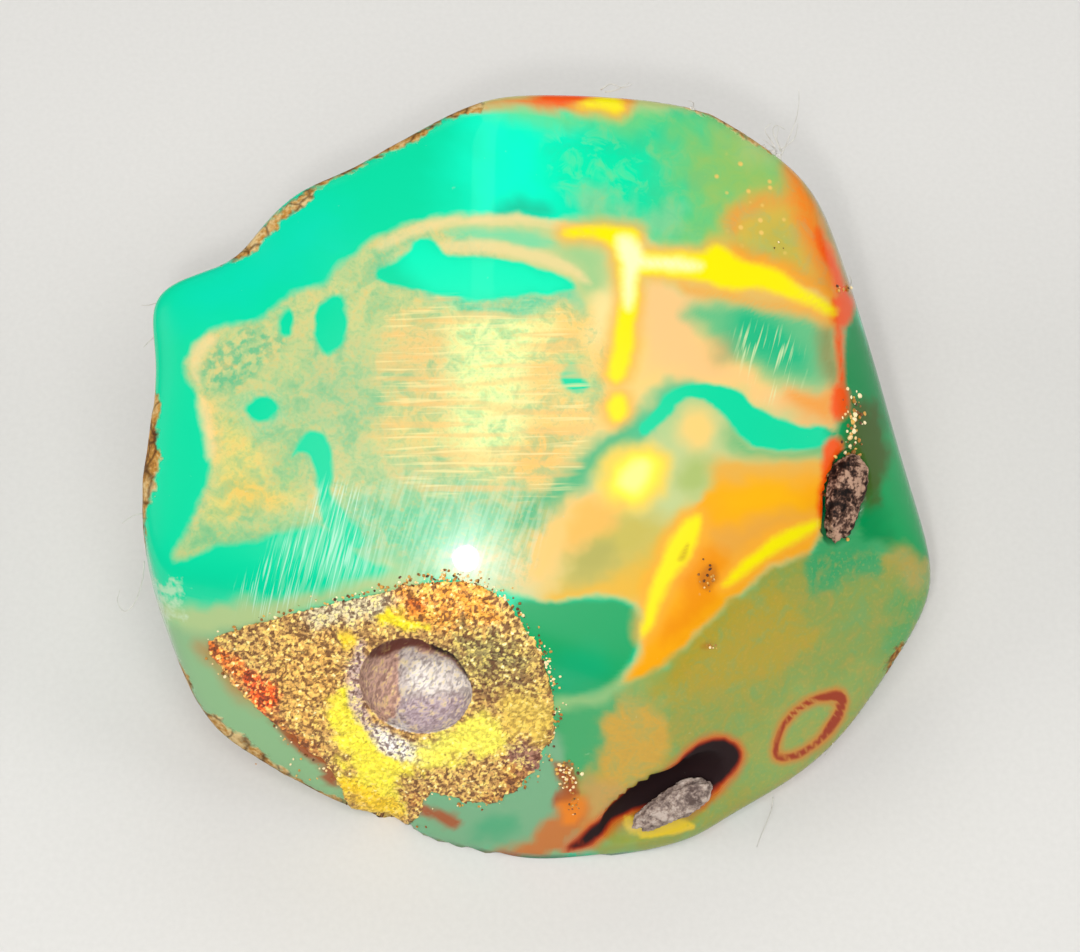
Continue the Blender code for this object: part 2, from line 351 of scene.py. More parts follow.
# Soft colours in the clear resin, laid in this order: name, colour, softness and wobble (mm),
# strength from 0 to 1 and outline (sheet steps).
CLEAR_GROUND = "00DCA2"
CLEAR_ZONES = [
    # A painted highlight: lighter teal where the band of glare crosses the crown.
    ("crown_glare", "00FFCE", 3.2, 0.8, 1.0, [
        (478, 108), (556, 110), (572, 150), (560, 205), (530, 228), (476, 226), (462, 180), (466, 140)]),
    ("crown_right", "00F2B0", 2.4, 0.8, 0.8, [
        (572, 150), (640, 150), (655, 175), (630, 195), (585, 190), (560, 175)]),
    ("blue_corner", "00DDB4", 3.0, 1.0, 0.9, [
        (240, 240), (300, 205), (340, 215), (320, 265), (250, 300), (200, 320), (180, 290)]),
    ("green_turn", "46D48A", 2.0, 1.2, 1.0, [
        (628, 118), (700, 102), (740, 130), (740, 200), (720, 262), (640, 240), (590, 222), (640, 212),
        (672, 185), (664, 148), (648, 128)]),
    ("olive_cheek", "90C668", 2.4, 1.2, 1.0, [
        (690, 150), (735, 114), (800, 160), (835, 235), (850, 300), (800, 292), (740, 262), (700, 254),
        (690, 230), (702, 195)]),
    ("crown_fleck", "8ED49A", 0.9, 1.4, 0.7, [
        (585, 190), (620, 205), (670, 212), (690, 235), (660, 238), (610, 226), (570, 212)]),
    ("pale_cheek", "B6CE84", 1.4, 0.8, 0.7, [
        (735, 122), (770, 140), (780, 160), (755, 162), (735, 145)]),
    ("honey_cheek", "D8BA4C", 1.1, 0.6, 1.0, [
        (722, 228), (738, 208), (765, 198), (802, 200), (814, 235), (832, 292), (812, 288), (780, 268),
        (745, 250), (722, 242)]),
    ("cheek_shade", "BFB64E", 1.0, 0.5, 0.7, [
        (758, 232), (790, 228), (806, 262), (790, 268), (765, 256)]),
    ("cheek_arc", "F0A044", 0.7, 0.4, 0.9, [
        (722, 232), (730, 212), (750, 200), (780, 194), (806, 198), (812, 214), (780, 208), (756, 213),
        (742, 222), (734, 238)]),
    ("ridge_glow", "FF8418", 0.9, 0.3, 0.95, [
        (788, 160), (804, 178), (822, 212), (836, 246), (854, 286), (852, 306), (832, 302), (816, 268),
        (802, 230), (790, 196)]),
    ("right_side", "9A8A3C", 0.4, 0.3, 0.9, [
        (806, 176), (822, 196), (840, 240), (856, 290), (850, 300), (838, 262), (824, 222), (812, 196)]),
    ("eye_clear", "00F4BC", 0.9, 0.4, 1.0, [
        (400, 250), (430, 240), (460, 256), (520, 262), (572, 280), (560, 294), (500, 300), (430, 294)]),
    ("dusky_smudge", "1EB088", 0.7, 0.4, 0.7, [(500, 206), (540, 204), (545, 216), (505, 220)]),
    ("vein_warmth", "F49A22", 0.45, 0.4, 0.9, [
        (728, 250), (742, 247), (770, 258), (800, 268), (830, 288), (846, 300), (838, 314), (800, 294),
        (770, 278), (742, 266)]),
    ("upper_bevel", "C6CE84", 0.4, 0.3, 1.0, [
        (450, 108), (520, 85), (600, 78), (700, 92), (704, 108), (640, 112), (590, 110), (530, 110),
        (478, 112)]),
    ("bevel_ember", "F07A18", 0.4, 0.3, 0.95, [
        (482, 107), (520, 98), (560, 91), (600, 86), (626, 91), (634, 106), (604, 112), (560, 108),
        (520, 108)]),
    ("spur", "E8962C", 0.22, 0.2, 0.95, [
        (800, 538), (811, 533), (807, 556), (800, 596), (793, 597), (796, 562)]),
    ("under_bevel", "7ED67E", 0.8, 0.4, 0.8, [
        (500, 113), (600, 114), (664, 112), (640, 128), (560, 124)]),
    # Painted shade: the right side facet, turned away from the light, in darker greens.
    ("shoulder", "009450", 0.6, 0.5, 1.0, [
        (846, 290), (870, 335), (905, 420), (935, 500), (940, 560), (905, 560), (880, 545), (845, 548),
        (832, 520), (832, 440), (842, 350)]),
    ("deep_shoulder", "00A85C", 0.6, 0.5, 0.9, [
        (878, 440), (905, 440), (932, 510), (930, 552), (900, 546), (884, 510)]),
    ("shoulder_haze", "4C5A18", 0.5, 0.6, 0.85, [
        (850, 395), (872, 400), (888, 440), (884, 490), (866, 510), (858, 470), (848, 430)]),
    ("front_facet", "9CA648", 0.8, 0.8, 1.0, [
        (560, 705), (600, 694), (640, 668), (690, 634), (726, 600), (760, 575), (800, 548), (835, 535),
        (875, 545), (930, 560), (940, 620), (900, 700), (800, 800), (700, 845), (600, 850), (560, 790)]),
    ("facet_gold", "BEA42C", 0.9, 1.2, 0.8, [
        (640, 690), (700, 636), (730, 600), (770, 592), (810, 612), (800, 650), (760, 680), (700, 700)]),
    ("facet_fern", "34A868", 0.5, 0.6, 0.95, [
        (806, 552), (822, 536), (845, 528), (885, 545), (880, 575), (850, 584), (826, 596), (804, 586)]),
    ("facet_moss", "8CA650", 1.6, 1.4, 0.8, [
        (825, 590), (890, 585), (912, 620), (880, 700), (820, 720), (790, 700), (815, 650)]),
    ("facet_rim_green", "4FA85A", 0.9, 0.6, 0.8, [
        (895, 590), (925, 570), (934, 600), (915, 650), (890, 680), (885, 640)]),
    ("facet_edge", "B8A858", 0.7, 0.4, 0.9, [
        (890, 556), (910, 550), (926, 572), (918, 592), (900, 580)]),
    ("facet_low", "98B058", 1.5, 1.2, 0.8, [
        (745, 745), (790, 705), (850, 675), (880, 670), (850, 720), (790, 785), (745, 780)]),
    ("facet_left", "92B66A", 1.4, 1.0, 0.9, [
        (600, 698), (640, 672), (662, 672), (655, 700), (640, 745), (618, 790), (608, 745)]),
    ("pool", "1EAA66", 0.35, 0.15, 1.0, [
        (515, 603), (560, 601), (605, 600), (629, 604), (639, 620), (638, 641), (626, 667), (610, 686),
        (579, 696), (550, 702), (530, 690), (522, 640)]),
    ("pool_depth", "06B478", 1.2, 0.4, 0.7, [
        (555, 660), (590, 650), (610, 672), (580, 690), (555, 694)]),
    ("pool_foot", "44B06C", 0.4, 0.4, 1.0, [
        (545, 702), (585, 700), (624, 682), (612, 712), (604, 742), (594, 780), (575, 775), (548, 760)]),
    ("pool_light", "A2CE86", 0.5, 0.3, 0.85, [
        (552, 698), (585, 696), (612, 686), (630, 668), (634, 676), (618, 694), (590, 706), (552, 710)]),
    ("honey_drain", "DCAC40", 0.5, 0.5, 0.95, [
        (604, 712), (650, 706), (668, 740), (650, 770), (622, 815), (590, 838), (580, 812), (596, 778),
        (600, 745)]),
    ("foot_green", "7EB88A", 0.4, 0.4, 1.0, [
        (360, 806), (400, 790), (480, 790), (525, 775), (550, 735), (566, 748), (562, 800), (545, 830),
        (510, 850), (470, 850), (425, 836)]),
    ("foot_peach", "CCA45C", 0.5, 0.4, 0.8, [
        (584, 780), (612, 786), (630, 796), (612, 816), (590, 832), (580, 818)]),
    ("foot_rust", "B0440C", 0.25, 0.5, 0.9, [
        (552, 766), (566, 766), (578, 774), (580, 788), (570, 802), (558, 804), (554, 794), (564, 784),
        (562, 776)]),
    ("foot_fringe", "B04C18", 0.2, 0.3, 0.9, [
        (406, 808), (430, 806), (452, 812), (460, 822), (450, 828), (432, 821), (412, 814)]),
    ("foot_pool", "48B07C", 0.6, 0.4, 0.8, [
        (470, 826), (500, 815), (515, 826), (500, 840), (475, 838)]),
    ("foot_honey", "D4742A", 0.45, 0.5, 0.95, [
        (548, 820), (562, 802), (580, 802), (586, 822), (574, 842), (550, 856), (515, 862), (480, 862),
        (500, 850), (530, 840)]),
    ("foot_flame", "FA8A08", 0.35, 0.4, 0.9, [
        (562, 800), (574, 796), (582, 806), (578, 820), (566, 826), (560, 814)]),
    ("left_foot", "92C08A", 0.4, 0.3, 1.0, [
        (150, 628), (205, 622), (300, 618), (320, 640), (330, 700), (345, 755), (380, 812), (345, 805),
        (300, 795), (225, 745), (165, 680)]),
    ("left_glow", "C08A48", 0.5, 0.4, 0.7, [
        (192, 636), (212, 642), (236, 672), (262, 700), (256, 712), (230, 690), (204, 662)]),
    ("left_fringe", "A8481A", 0.2, 0.5, 0.9, [
        (262, 696), (282, 712), (304, 736), (328, 760), (342, 780), (334, 784), (308, 760), (286, 738),
        (268, 716)]),
    ("sill", "B9CE8C", 0.5, 0.4, 0.95, [
        (150, 600), (200, 603), (260, 601), (330, 590), (372, 578), (420, 566), (420, 590), (370, 594),
        (320, 604), (280, 618), (220, 628), (165, 622)]),
]

# Where the resin is milky: clouds of bubbles, and the clear drops that they leave free.
MILK_CLOUDS = [
    [(176, 560), (181, 540), (189, 520), (197, 503), (207, 480), (212, 463), (211, 452), (205, 434),
     (200, 402), (197, 387), (186, 376), (190, 352), (197, 342), (211, 332), (226, 325), (256, 319),
     (281, 306), (295, 292), (311, 286), (326, 283), (337, 268), (354, 256), (371, 240), (400, 228),
     (416, 223), (451, 215), (480, 213), (505, 215), (541, 220), (576, 226), (600, 230), (640, 234),
     (660, 246), (700, 254), (760, 276), (836, 306), (840, 400), (834, 440), (828, 520), (800, 556),
     (760, 578), (726, 604), (700, 632), (660, 664), (622, 684), (638, 650), (640, 615), (628, 601),
     (590, 597), (545, 600), (480, 585), (440, 575), (400, 572), (366, 556), (345, 540), (325, 526),
     (300, 527), (270, 533), (222, 544)],
]
CLEAR_DROPS = [
    [(333, 292), (346, 299), (350, 320), (344, 342), (327, 353), (315, 342), (314, 320), (320, 303)],
    [(289, 310), (294, 320), (289, 335), (280, 335), (279, 320)],
    [(244, 407), (256, 397), (274, 398), (279, 409), (268, 420), (250, 420)],
    [(314, 430), (327, 437), (332, 463), (330, 490), (342, 506), (360, 526), (366, 542), (345, 546),
     (330, 534), (320, 510), (315, 480), (311, 459), (303, 450), (292, 456), (298, 440), (306, 433)],
    [(376, 270), (392, 262), (408, 250), (418, 241), (430, 237), (440, 242), (450, 254), (480, 257),
     (512, 260), (540, 266), (572, 280), (580, 288), (560, 293), (523, 297), (487, 300), (450, 300),
     (428, 293), (404, 288), (382, 284)],
    [(574, 363), (582, 377), (588, 387), (574, 391), (565, 383), (566, 371)],
    [(640, 430), (646, 418), (662, 400), (680, 388), (700, 382), (718, 385), (735, 391), (753, 406),
     (776, 418), (804, 426), (834, 430), (830, 446), (800, 449), (770, 449), (745, 440), (726, 424),
     (708, 404), (690, 399), (676, 408), (662, 426), (648, 436)],
]

# Soft colours in the milky resin, laid in this order, as above.
MILK_GROUND = "C8D48E"
MILK_ZONES = [
    ("peach_right", "FFD67C", 1.8, 1.0, 1.0, [
        (520, 300), (600, 295), (660, 320), (720, 335), (780, 385), (740, 400), (680, 385), (640, 410),
        (590, 445), (540, 480), (500, 470), (490, 440), (520, 400)]),
    ("honey_left", "F0DA80", 2.0, 1.0, 0.8, [
        (400, 320), (440, 320), (450, 400), (440, 450), (390, 445), (380, 430), (400, 390)]),
    # A painted highlight: the pale band of glare that runs up the middle of the milk.
    ("glare_band", "F2FFA8", 1.4, 0.6, 0.95, [
        (452, 308), (500, 306), (540, 312), (545, 345), (525, 372), (528, 420), (505, 460), (460, 462),
        (448, 430), (450, 360)]),
    ("mint_haze", "A0CA90", 2.2, 1.2, 0.8, [
        (300, 352), (345, 356), (385, 372), (396, 400), (376, 430), (350, 460), (330, 430), (290, 400)]),
    ("left_honey", "E8DA7C", 0.9, 0.8, 0.9, [
        (212, 420), (245, 430), (262, 450), (290, 480), (300, 500), (250, 512), (205, 520), (214, 480),
        (222, 456)]),
    ("left_gold", "F0CC62", 0.9, 0.6, 0.8, [
        (228, 482), (248, 478), (270, 492), (275, 506), (250, 512), (230, 504)]),
    ("left_foot_green", "98CE8C", 0.9, 0.5, 0.9, [
        (185, 540), (200, 520), (250, 524), (320, 512), (330, 530), (270, 540), (222, 552), (180, 562)]),
    ("drop_shadow", "8FCB8A", 0.9, 0.6, 0.8, [
        (285, 440), (300, 425), (312, 436), (300, 470), (296, 490), (278, 486), (276, 462)]),
    ("drop_halo", "9AD49A", 0.8, 0.4, 0.9, [
        (234, 402), (252, 390), (276, 390), (288, 408), (280, 430), (258, 438), (242, 428)]),
    ("mint_shade", "70CE98", 1.4, 1.0, 0.9, [
        (345, 500), (400, 490), (460, 492), (500, 500), (548, 500), (545, 530), (520, 560), (470, 580),
        (420, 575), (372, 556), (338, 530)]),
    ("mint_cold", "66D49C", 0.9, 1.0, 0.7, [
        (360, 520), (400, 510), (440, 520), (440, 545), (400, 560), (366, 545)]),
    ("grey_shade", "C4D494", 1.6, 0.8, 0.7, [
        (336, 460), (400, 455), (440, 470), (430, 492), (370, 500), (334, 488)]),
    ("eye_left", "6ECB96", 0.8, 0.8, 0.9, [
        (374, 262), (388, 248), (404, 243), (420, 238), (424, 262), (404, 282), (384, 288), (374, 278)]),
    ("eye_crumbs", "D8DC98", 0.5, 0.6, 0.7, [
        (396, 250), (412, 250), (414, 268), (402, 276), (392, 268)]),
    ("eye_foot", "40D4A4", 0.8, 0.6, 1.0, [
        (420, 290), (470, 296), (530, 294), (572, 288), (580, 298), (540, 308), (480, 312), (440, 308)]),
    ("eye_lid", "78DCA4", 0.3, 0.3, 0.9, [
        (446, 232), (480, 227), (520, 230), (548, 239), (560, 246), (535, 247), (500, 241), (465, 241)]),
    ("eye_corner", "9CD08C", 0.9, 0.4, 0.9, [
        (560, 244), (588, 242), (604, 256), (606, 278), (596, 292), (584, 290), (588, 272), (572, 260)]),
    ("corner_cream", "FFE9A0", 0.8, 0.4, 0.7, [
        (596, 296), (615, 290), (618, 330), (604, 350), (590, 330)]),
    ("spot_shade", "B6DC90", 0.9, 0.4, 0.8, [
        (560, 352), (578, 345), (592, 365), (600, 388), (585, 398), (560, 385)]),
    ("mint_tail", "58BC80", 0.8, 0.6, 1.0, [
        (508, 516), (530, 494), (552, 476), (590, 448), (616, 430), (640, 414), (652, 430), (622, 458),
        (585, 488), (545, 524), (520, 530)]),
    ("band_head", "4CC48C", 0.8, 0.4, 0.9, [
        (632, 420), (650, 398), (668, 384), (690, 376), (700, 384), (676, 402), (656, 430), (636, 440)]),
    ("band_tail", "A8D28E", 0.8, 0.5, 0.8, [
        (676, 404), (700, 396), (716, 412), (708, 408), (690, 408), (668, 432)]),
    ("left_rim", "FFD67C", 0.5, 0.2, 0.95, [
        (197, 394), (210, 398), (217, 430), (220, 452), (213, 462), (203, 434)]),
    ("right_tan", "FFCB86", 1.2, 0.8, 0.95, [
        (645, 292), (690, 292), (705, 305), (700, 330), (720, 352), (750, 380), (800, 396), (834, 398),
        (834, 426), (795, 422), (750, 396), (700, 374), (660, 374), (640, 340)]),
    ("right_amber", "F8A03A", 0.9, 0.4, 0.9, [
        (790, 396), (815, 392), (836, 392), (836, 426), (812, 422), (792, 412)]),
    ("green_lens", "68C486", 0.9, 0.4, 1.0, [
        (684, 314), (700, 306), (728, 303), (757, 303), (797, 309), (826, 320), (830, 345), (828, 380),
        (800, 386), (775, 379), (753, 368), (734, 356), (720, 342), (700, 328)]),
    ("deep_lens", "1CBE84", 0.9, 0.5, 0.95, [
        (734, 318), (755, 312), (775, 322), (800, 345), (806, 366), (786, 370), (762, 360), (740, 350)]),
    ("lens_smudge", "B49A68", 0.9, 0.5, 0.5, [
        (712, 344), (728, 336), (738, 346), (736, 358), (716, 358)]),
    ("lens_right", "8A7A3C", 0.7, 0.3, 0.7, [
        (822, 330), (836, 325), (838, 380), (828, 385), (822, 360)]),
    ("vein_foot", "F4AC48", 0.5, 0.3, 0.85, [
        (680, 282), (740, 294), (790, 298), (836, 316), (832, 328), (790, 312), (740, 304), (690, 296)]),
    ("band_foot", "5EBC78", 0.9, 0.5, 0.95, [
        (726, 426), (745, 438), (775, 448), (834, 440), (832, 456), (800, 462), (765, 460), (738, 452)]),
    ("peach_spot", "FFD67A", 0.7, 0.3, 0.95, [
        (680, 420), (690, 410), (704, 412), (712, 428), (708, 446), (694, 450), (682, 438)]),
    ("honey_field", "FFAE0C", 0.45, 0.4, 1.0, [
        (716, 478), (722, 464), (763, 468), (800, 466), (836, 462), (838, 480), (832, 525), (800, 556),
        (769, 572), (740, 594), (721, 614), (697, 636), (664, 668), (623, 688), (638, 650), (644, 622),
        (640, 600), (650, 560), (664, 530), (690, 512), (706, 498)]),
    ("field_top", "EDB650", 0.9, 0.5, 0.9, [
        (716, 462), (763, 462), (820, 462), (820, 478), (763, 484), (720, 480)]),
    ("field_left", "F4B81E", 0.9, 0.5, 0.9, [
        (540, 596), (560, 578), (600, 572), (645, 545), (668, 520), (690, 508), (680, 540), (656, 590),
        (644, 606), (600, 602), (545, 604)]),
    ("field_tan", "E8A848", 0.8, 0.5, 0.8, [
        (716, 530), (760, 518), (805, 512), (806, 524), (760, 540), (735, 560), (712, 556)]),
    ("field_depth", "F6960A", 0.7, 0.7, 0.9, [
        (690, 560), (712, 556), (730, 560), (722, 590), (705, 612), (680, 634), (664, 640), (680, 600)]),
    ("field_bright", "FFBE00", 1.2, 0.5, 0.7, [
        (725, 490), (780, 488), (800, 505), (760, 515), (722, 512)]),
    ("olive_lobe", "CDBC50", 1.2, 0.6, 0.95, [
        (590, 520), (640, 510), (664, 522), (654, 550), (620, 572), (580, 582), (562, 566), (572, 540)]),
    ("olive_deep", "B4B058", 0.9, 0.5, 0.8, [
        (575, 545), (605, 540), (620, 558), (600, 575), (572, 575)]),
    ("peach_lobe", "FFCB6C", 1.0, 0.5, 0.95, [
        (515, 540), (545, 518), (585, 494), (605, 505), (585, 530), (565, 560), (545, 585), (518, 580)]),
    ("pale_lobe", "DCD296", 1.2, 0.5, 0.8, [
        (455, 570), (480, 545), (510, 545), (520, 575), (540, 598), (500, 592), (462, 590)]),
    ("green_spot", "B0C46E", 0.8, 0.4, 0.95, [
        (680, 472), (696, 456), (712, 464), (712, 484), (702, 495), (684, 492)]),
    ("spot_glow", "FFD850", 0.6, 0.3, 0.95, [
        (598, 492), (602, 462), (624, 446), (654, 444), (670, 458), (668, 486), (652, 504), (628, 514),
        (606, 508)]),
    ("spot_yellow", "FFF43C", 0.4, 0.2, 1.0, [
        (610, 490), (614, 470), (628, 456), (648, 452), (661, 462), (660, 480), (648, 495), (630, 504),
        (616, 500)]),
    ("spot_heart", "FFFF90", 0.5, 0.2, 0.95, [
        (619, 486), (625, 469), (640, 460), (651, 466), (648, 483), (634, 493)]),
    ("spot_lobe", "FFBE50", 0.7, 0.4, 0.85, [
        (588, 500), (604, 506), (622, 510), (612, 528), (590, 536), (572, 548), (570, 524)]),
    ("peach_streak", "E8B080", 1.4, 0.6, 0.25, [
        (398, 320), (440, 318), (452, 345), (450, 400), (430, 410), (408, 400), (400, 360)]),
    ("orange_blotch", "FFC864", 0.9, 0.4, 0.8, [
        (512, 440), (548, 432), (560, 455), (540, 478), (514, 474)]),
]

# Veins of bright yellow resin, and spots where one comes up to the surface.
VEINS = [
    [(566, 230), (590, 228), (615, 228), (638, 232), (642, 251), (670, 254), (704, 254), (714, 247),
     (725, 250), (743, 261), (768, 268), (785, 275), (802, 289), (827, 304), (837, 311), (834, 316),
     (816, 309), (797, 300), (777, 292), (754, 288), (735, 290), (718, 286), (702, 280), (664, 275),
     (638, 274), (622, 262), (612, 245), (590, 237), (568, 236)],
    [(618, 246), (641, 252), (638, 284), (635, 318), (631, 352), (625, 376), (616, 383), (609, 374),
     (613, 352), (618, 326), (622, 292)],
    [(615, 396), (624, 397), (627, 411), (620, 420), (611, 418), (608, 406)],
    [(700, 517), (684, 523), (670, 541), (660, 567), (650, 594), (643, 615), (641, 636), (652, 625),
     (658, 604), (672, 580), (690, 556), (698, 538)],
    [(820, 522), (797, 528), (775, 539), (755, 553), (738, 567), (724, 585), (730, 584), (752, 569),
     (774, 555), (796, 541), (813, 531)],
    [(578, 105), (592, 100), (606, 97), (619, 100), (625, 107), (621, 112), (606, 110), (592, 108)],
]
# Where a vein is thickest it glows nearly white.
VEIN_HEARTS = [
    [(619, 240), (630, 238), (640, 248), (646, 258), (672, 260), (694, 263), (702, 267), (690, 269),
     (668, 268), (642, 267), (636, 276), (632, 296), (628, 308), (625, 296), (624, 266)],
]
# Red-orange edges: under the skin of the right ridge, beside the open pocket and in the bevel.
EMBERS = [
    [(818, 228), (827, 246), (837, 268), (848, 292), (850, 302), (845, 300), (834, 274), (823, 250)],
    [(836, 300), (851, 297), (854, 306), (848, 322), (840, 328), (834, 318)],
    [(838, 324), (842, 326), (843, 356), (844, 388), (840, 390), (839, 356)],
    [(836, 388), (845, 390), (847, 404), (844, 416), (836, 420), (833, 406)],
    [(828, 442), (842, 444), (838, 478), (830, 512), (819, 516), (822, 480)],
    [(536, 100), (562, 94), (588, 90), (612, 91), (600, 95), (578, 99), (556, 103)],
]
# Pale lines where a milky cloud ends against clear resin.
CREAM_LINES = [
    [(380, 244), (400, 232), (430, 221), (470, 216), (520, 217), (565, 223), (600, 231), (566, 229),
     (520, 225), (472, 223), (434, 229), (404, 240), (384, 250)],
    [(440, 242), (470, 240), (510, 244), (545, 252), (575, 266), (592, 282), (570, 274), (538, 262),
     (500, 254), (455, 252)],
    [(190, 352), (200, 340), (214, 334), (217, 340), (206, 350), (199, 368), (200, 386), (193, 376)],
    [(197, 396), (206, 400), (212, 430), (214, 452), (208, 458), (201, 430)],
]
# The ring where a bubble was cut through, and small brown stains.
RING = [(775, 758), (778, 735), (795, 712), (820, 699), (840, 697), (838, 715), (822, 738), (800, 754)]
RING_WIDTH = 0.3        # mm
RING_SWELL = 0.8        # how much wider its line is at the right, in its own widths
RING_SWELLS_OVER = (812, 836)
RING_WOBBLE = 0.1       # mm
STAINS = [
    [(679, 561), (684, 549), (688, 547), (684, 557)],
    [(704, 572), (712, 566), (718, 578), (708, 590), (700, 584)],
    [(704, 648), (711, 643), (712, 648)],
]
# The hollow of the open pocket is painted dark as its shade.
POCKET_SHADE = [
    [(566, 850), (581, 837), (600, 821), (624, 805), (650, 789), (668, 773), (684, 757), (700, 745),
     (718, 739), (733, 743), (739, 755), (735, 769), (722, 785), (706, 800), (684, 815), (655, 822),
     (628, 826), (604, 834), (584, 845)],
]
# A yellow crumb of sulphur-bright resin along the pocket's lower lip.
POCKET_LIP = [
    [(624, 829), (640, 831), (660, 828), (676, 825), (690, 823), (694, 830), (676, 834), (658, 837),
     (638, 838), (626, 836)],
]
# Natural skin left on the edge of the polished face.
SKIN_EDGES = [
    [(138, 378), (155, 384), (160, 420), (157, 467), (147, 505), (144, 560), (152, 605), (142, 612),
     (132, 560), (134, 500)],
    [(215, 268), (228, 256), (245, 246), (300, 196), (325, 174), (400, 138), (455, 108), (478, 102),
     (480, 112), (452, 120), (402, 147), (330, 182), (306, 200), (250, 252), (228, 264)],
    [(138, 600), (147, 600), (184, 669), (207, 711), (250, 745), (286, 771), (334, 797), (392, 816),
     (385, 826), (330, 808), (262, 770), (205, 724), (160, 662)],
    [(690, 96), (715, 105), (750, 126), (790, 155), (786, 162), (745, 136), (712, 115), (690, 108)],
    [(905, 640), (890, 655), (880, 690), (845, 735), (800, 790), (812, 795), (860, 745), (900, 690)],
]


def inside_wandering(outline, wobble):
    """How far inside an outline that wanders by some mm every point of the lump lies, in mm."""
    return inside_distance(spots + drift * wobble * STEPS_PER_MM, outline)


def laid_colours(ground, zones):
    """The ground colour at every point of the lump with soft zones laid over it, front only."""
    colours = np.tile(linear(ground), (len(skin), 1))
    for _, colour, soft, wobble, strength, outline in zones:
        edge = inside_wandering(outline, wobble)
        colours = laid_over(colours, colour, ramp(edge, -soft, soft) * strength * front)
    return colours


def union_distance(outlines, wobble):
    """How far inside the nearest of several outlines every point of the lump lies, in mm."""
    deepest = np.max([inside_wandering(outline, wobble) for outline in outlines], axis=0)
    return deepest - (1 - front) * FAR


def wander(points, broad, fine, fine_share):
    """How the outlines wander at each point, right and down, broadly (mm) and more finely."""
    broadly = np.stack([mottle(points, broad, 3), mottle(points, broad, 31)], axis=1)
    return broadly + fine_share * np.stack([mottle(points, fine, 57), mottle(points, fine, 83)], axis=1)


# How broadly and how finely the outlines wander (mm), and the finer one's share.
DRIFT_BROAD = 2.2
DRIFT_FINE = 0.8
DRIFT_FINE_SHARE = 0.5
points_mm = skin / MM
drift = wander(points_mm, DRIFT_BROAD, DRIFT_FINE, DRIFT_FINE_SHARE)

# Away from the front, slow clouds carry the same colours round the lump: olive in wide ones,
# honey in ones that lie flat, and a part of tan where the resin is milky.
WIDE_CLOUD = 11.0       # mm
LONG_CLOUD = 7.0
FLATTENED = np.array([1.0, 1.0, 1.8])
HONEY_SHARE = 0.75
TAN_SHARE = 0.45
wide_clouds = mottle(points_mm, WIDE_CLOUD, seed=7, octaves=3)
long_clouds = mottle(points_mm * FLATTENED, LONG_CLOUD, seed=19, octaves=3)
side_colour = np.tile(linear("2FA070"), (len(skin), 1))
side_colour = laid_over(side_colour, "8FA650", ramp(wide_clouds, -0.25, 0.3))
side_colour = laid_over(side_colour, "D8882C", HONEY_SHARE * ramp(long_clouds, 0.1, 0.5))
side_milk = laid_over(side_colour, "CDB06E", np.full(len(skin), TAN_SHARE))
behind = (1 - front)[:, None]
clear_colour = laid_colours(CLEAR_GROUND, CLEAR_ZONES) * (1 - behind) + side_colour * behind
milk_colour = laid_colours(MILK_GROUND, MILK_ZONES) * (1 - behind) + side_milk * behind

# The milk: its clouds on the front, less the clear drops, whose edges are the crisper ones, and
# on the sides clouds of its own.
MILK_WOBBLE = 0.25      # mm
DROP_CRISPNESS = 1.6
SIDE_MILK = 8.0         # mm across
SIDE_MILK_FROM = 0.18   # the value of the noise where it starts
SIDE_MILK_STEEP = 6.0   # mm of distance for each step of the noise
milk_edge = np.max([inside_wandering(cloud, MILK_WOBBLE) for cloud in MILK_CLOUDS], axis=0)
for drop in CLEAR_DROPS:
    milk_edge = np.minimum(milk_edge, -DROP_CRISPNESS * inside_wandering(drop, MILK_WOBBLE))
side_clouds = (mottle(points_mm, SIDE_MILK, seed=43, octaves=3) - SIDE_MILK_FROM) * SIDE_MILK_STEEP
milk_edge = milk_edge * front + (1 - front) * side_clouds

# The natural skin covers about a third of the sides, more of it low and far back, and none of the
# front. Bareness says how much of it there is: less where a face turns to the viewer or lies high.
SKIN_PATCH = 11.0       # mm across
SKIN_PATCH_REACH = 0.9
SKIN_PATCH_STEEP = 4.0  # mm of distance for each step of the noise
BARE_GROUND = -0.2
BARE_BEHIND = 0.45      # more where a face turns right away
BARE_FACING = 2.5       # less where it turns to the viewer
BARE_HIGH = 0.25        # less above the heights that follow (mm)
BARE_HEIGHTS = (3.0, 14.0)
bareness = BARE_GROUND - BARE_BEHIND * np.minimum(lean, 0) - BARE_FACING * np.maximum(lean, 0)
bareness -= BARE_HIGH * ramp(points_mm[:, 2], *BARE_HEIGHTS)
skin_clouds = mottle(points_mm, SKIN_PATCH, seed=91, octaves=3) * SKIN_PATCH_REACH
skin_patches = (skin_clouds + bareness) * SKIN_PATCH_STEEP

# The ring's line is thickest at its right.
ring_edge = RING_WIDTH / 2 * (1 + RING_SWELL * ramp(spots[:, 0], *RING_SWELLS_OVER))
ring_edge -= np.abs(inside_wandering(RING, RING_WOBBLE)) + (1 - front) * FAR

# Each edge that the finish follows: its outlines and how far they wander (mm).
EDGE_OUTLINES = {
    "vein_edge": (VEINS, 0.12),
    "heart_edge": (VEIN_HEARTS, 0.12),
    "ember_edge": (EMBERS, 0.15),
    "cream_edge": (CREAM_LINES, 0.15),
    "stain_edge": (STAINS, 0.2),
    "pocket_edge": (POCKET_SHADE, 0.15),
    "lip_edge": (POCKET_LIP, 0.15),
    "skin_edge": (SKIN_EDGES, 0.2),
}
edges = {"milk_edge": milk_edge, "ring_edge": ring_edge}
for name, (outlines, wobble) in EDGE_OUTLINES.items():
    edges[name] = union_distance(outlines, wobble)
edges["skin_edge"] = np.maximum(edges["skin_edge"], skin_patches)

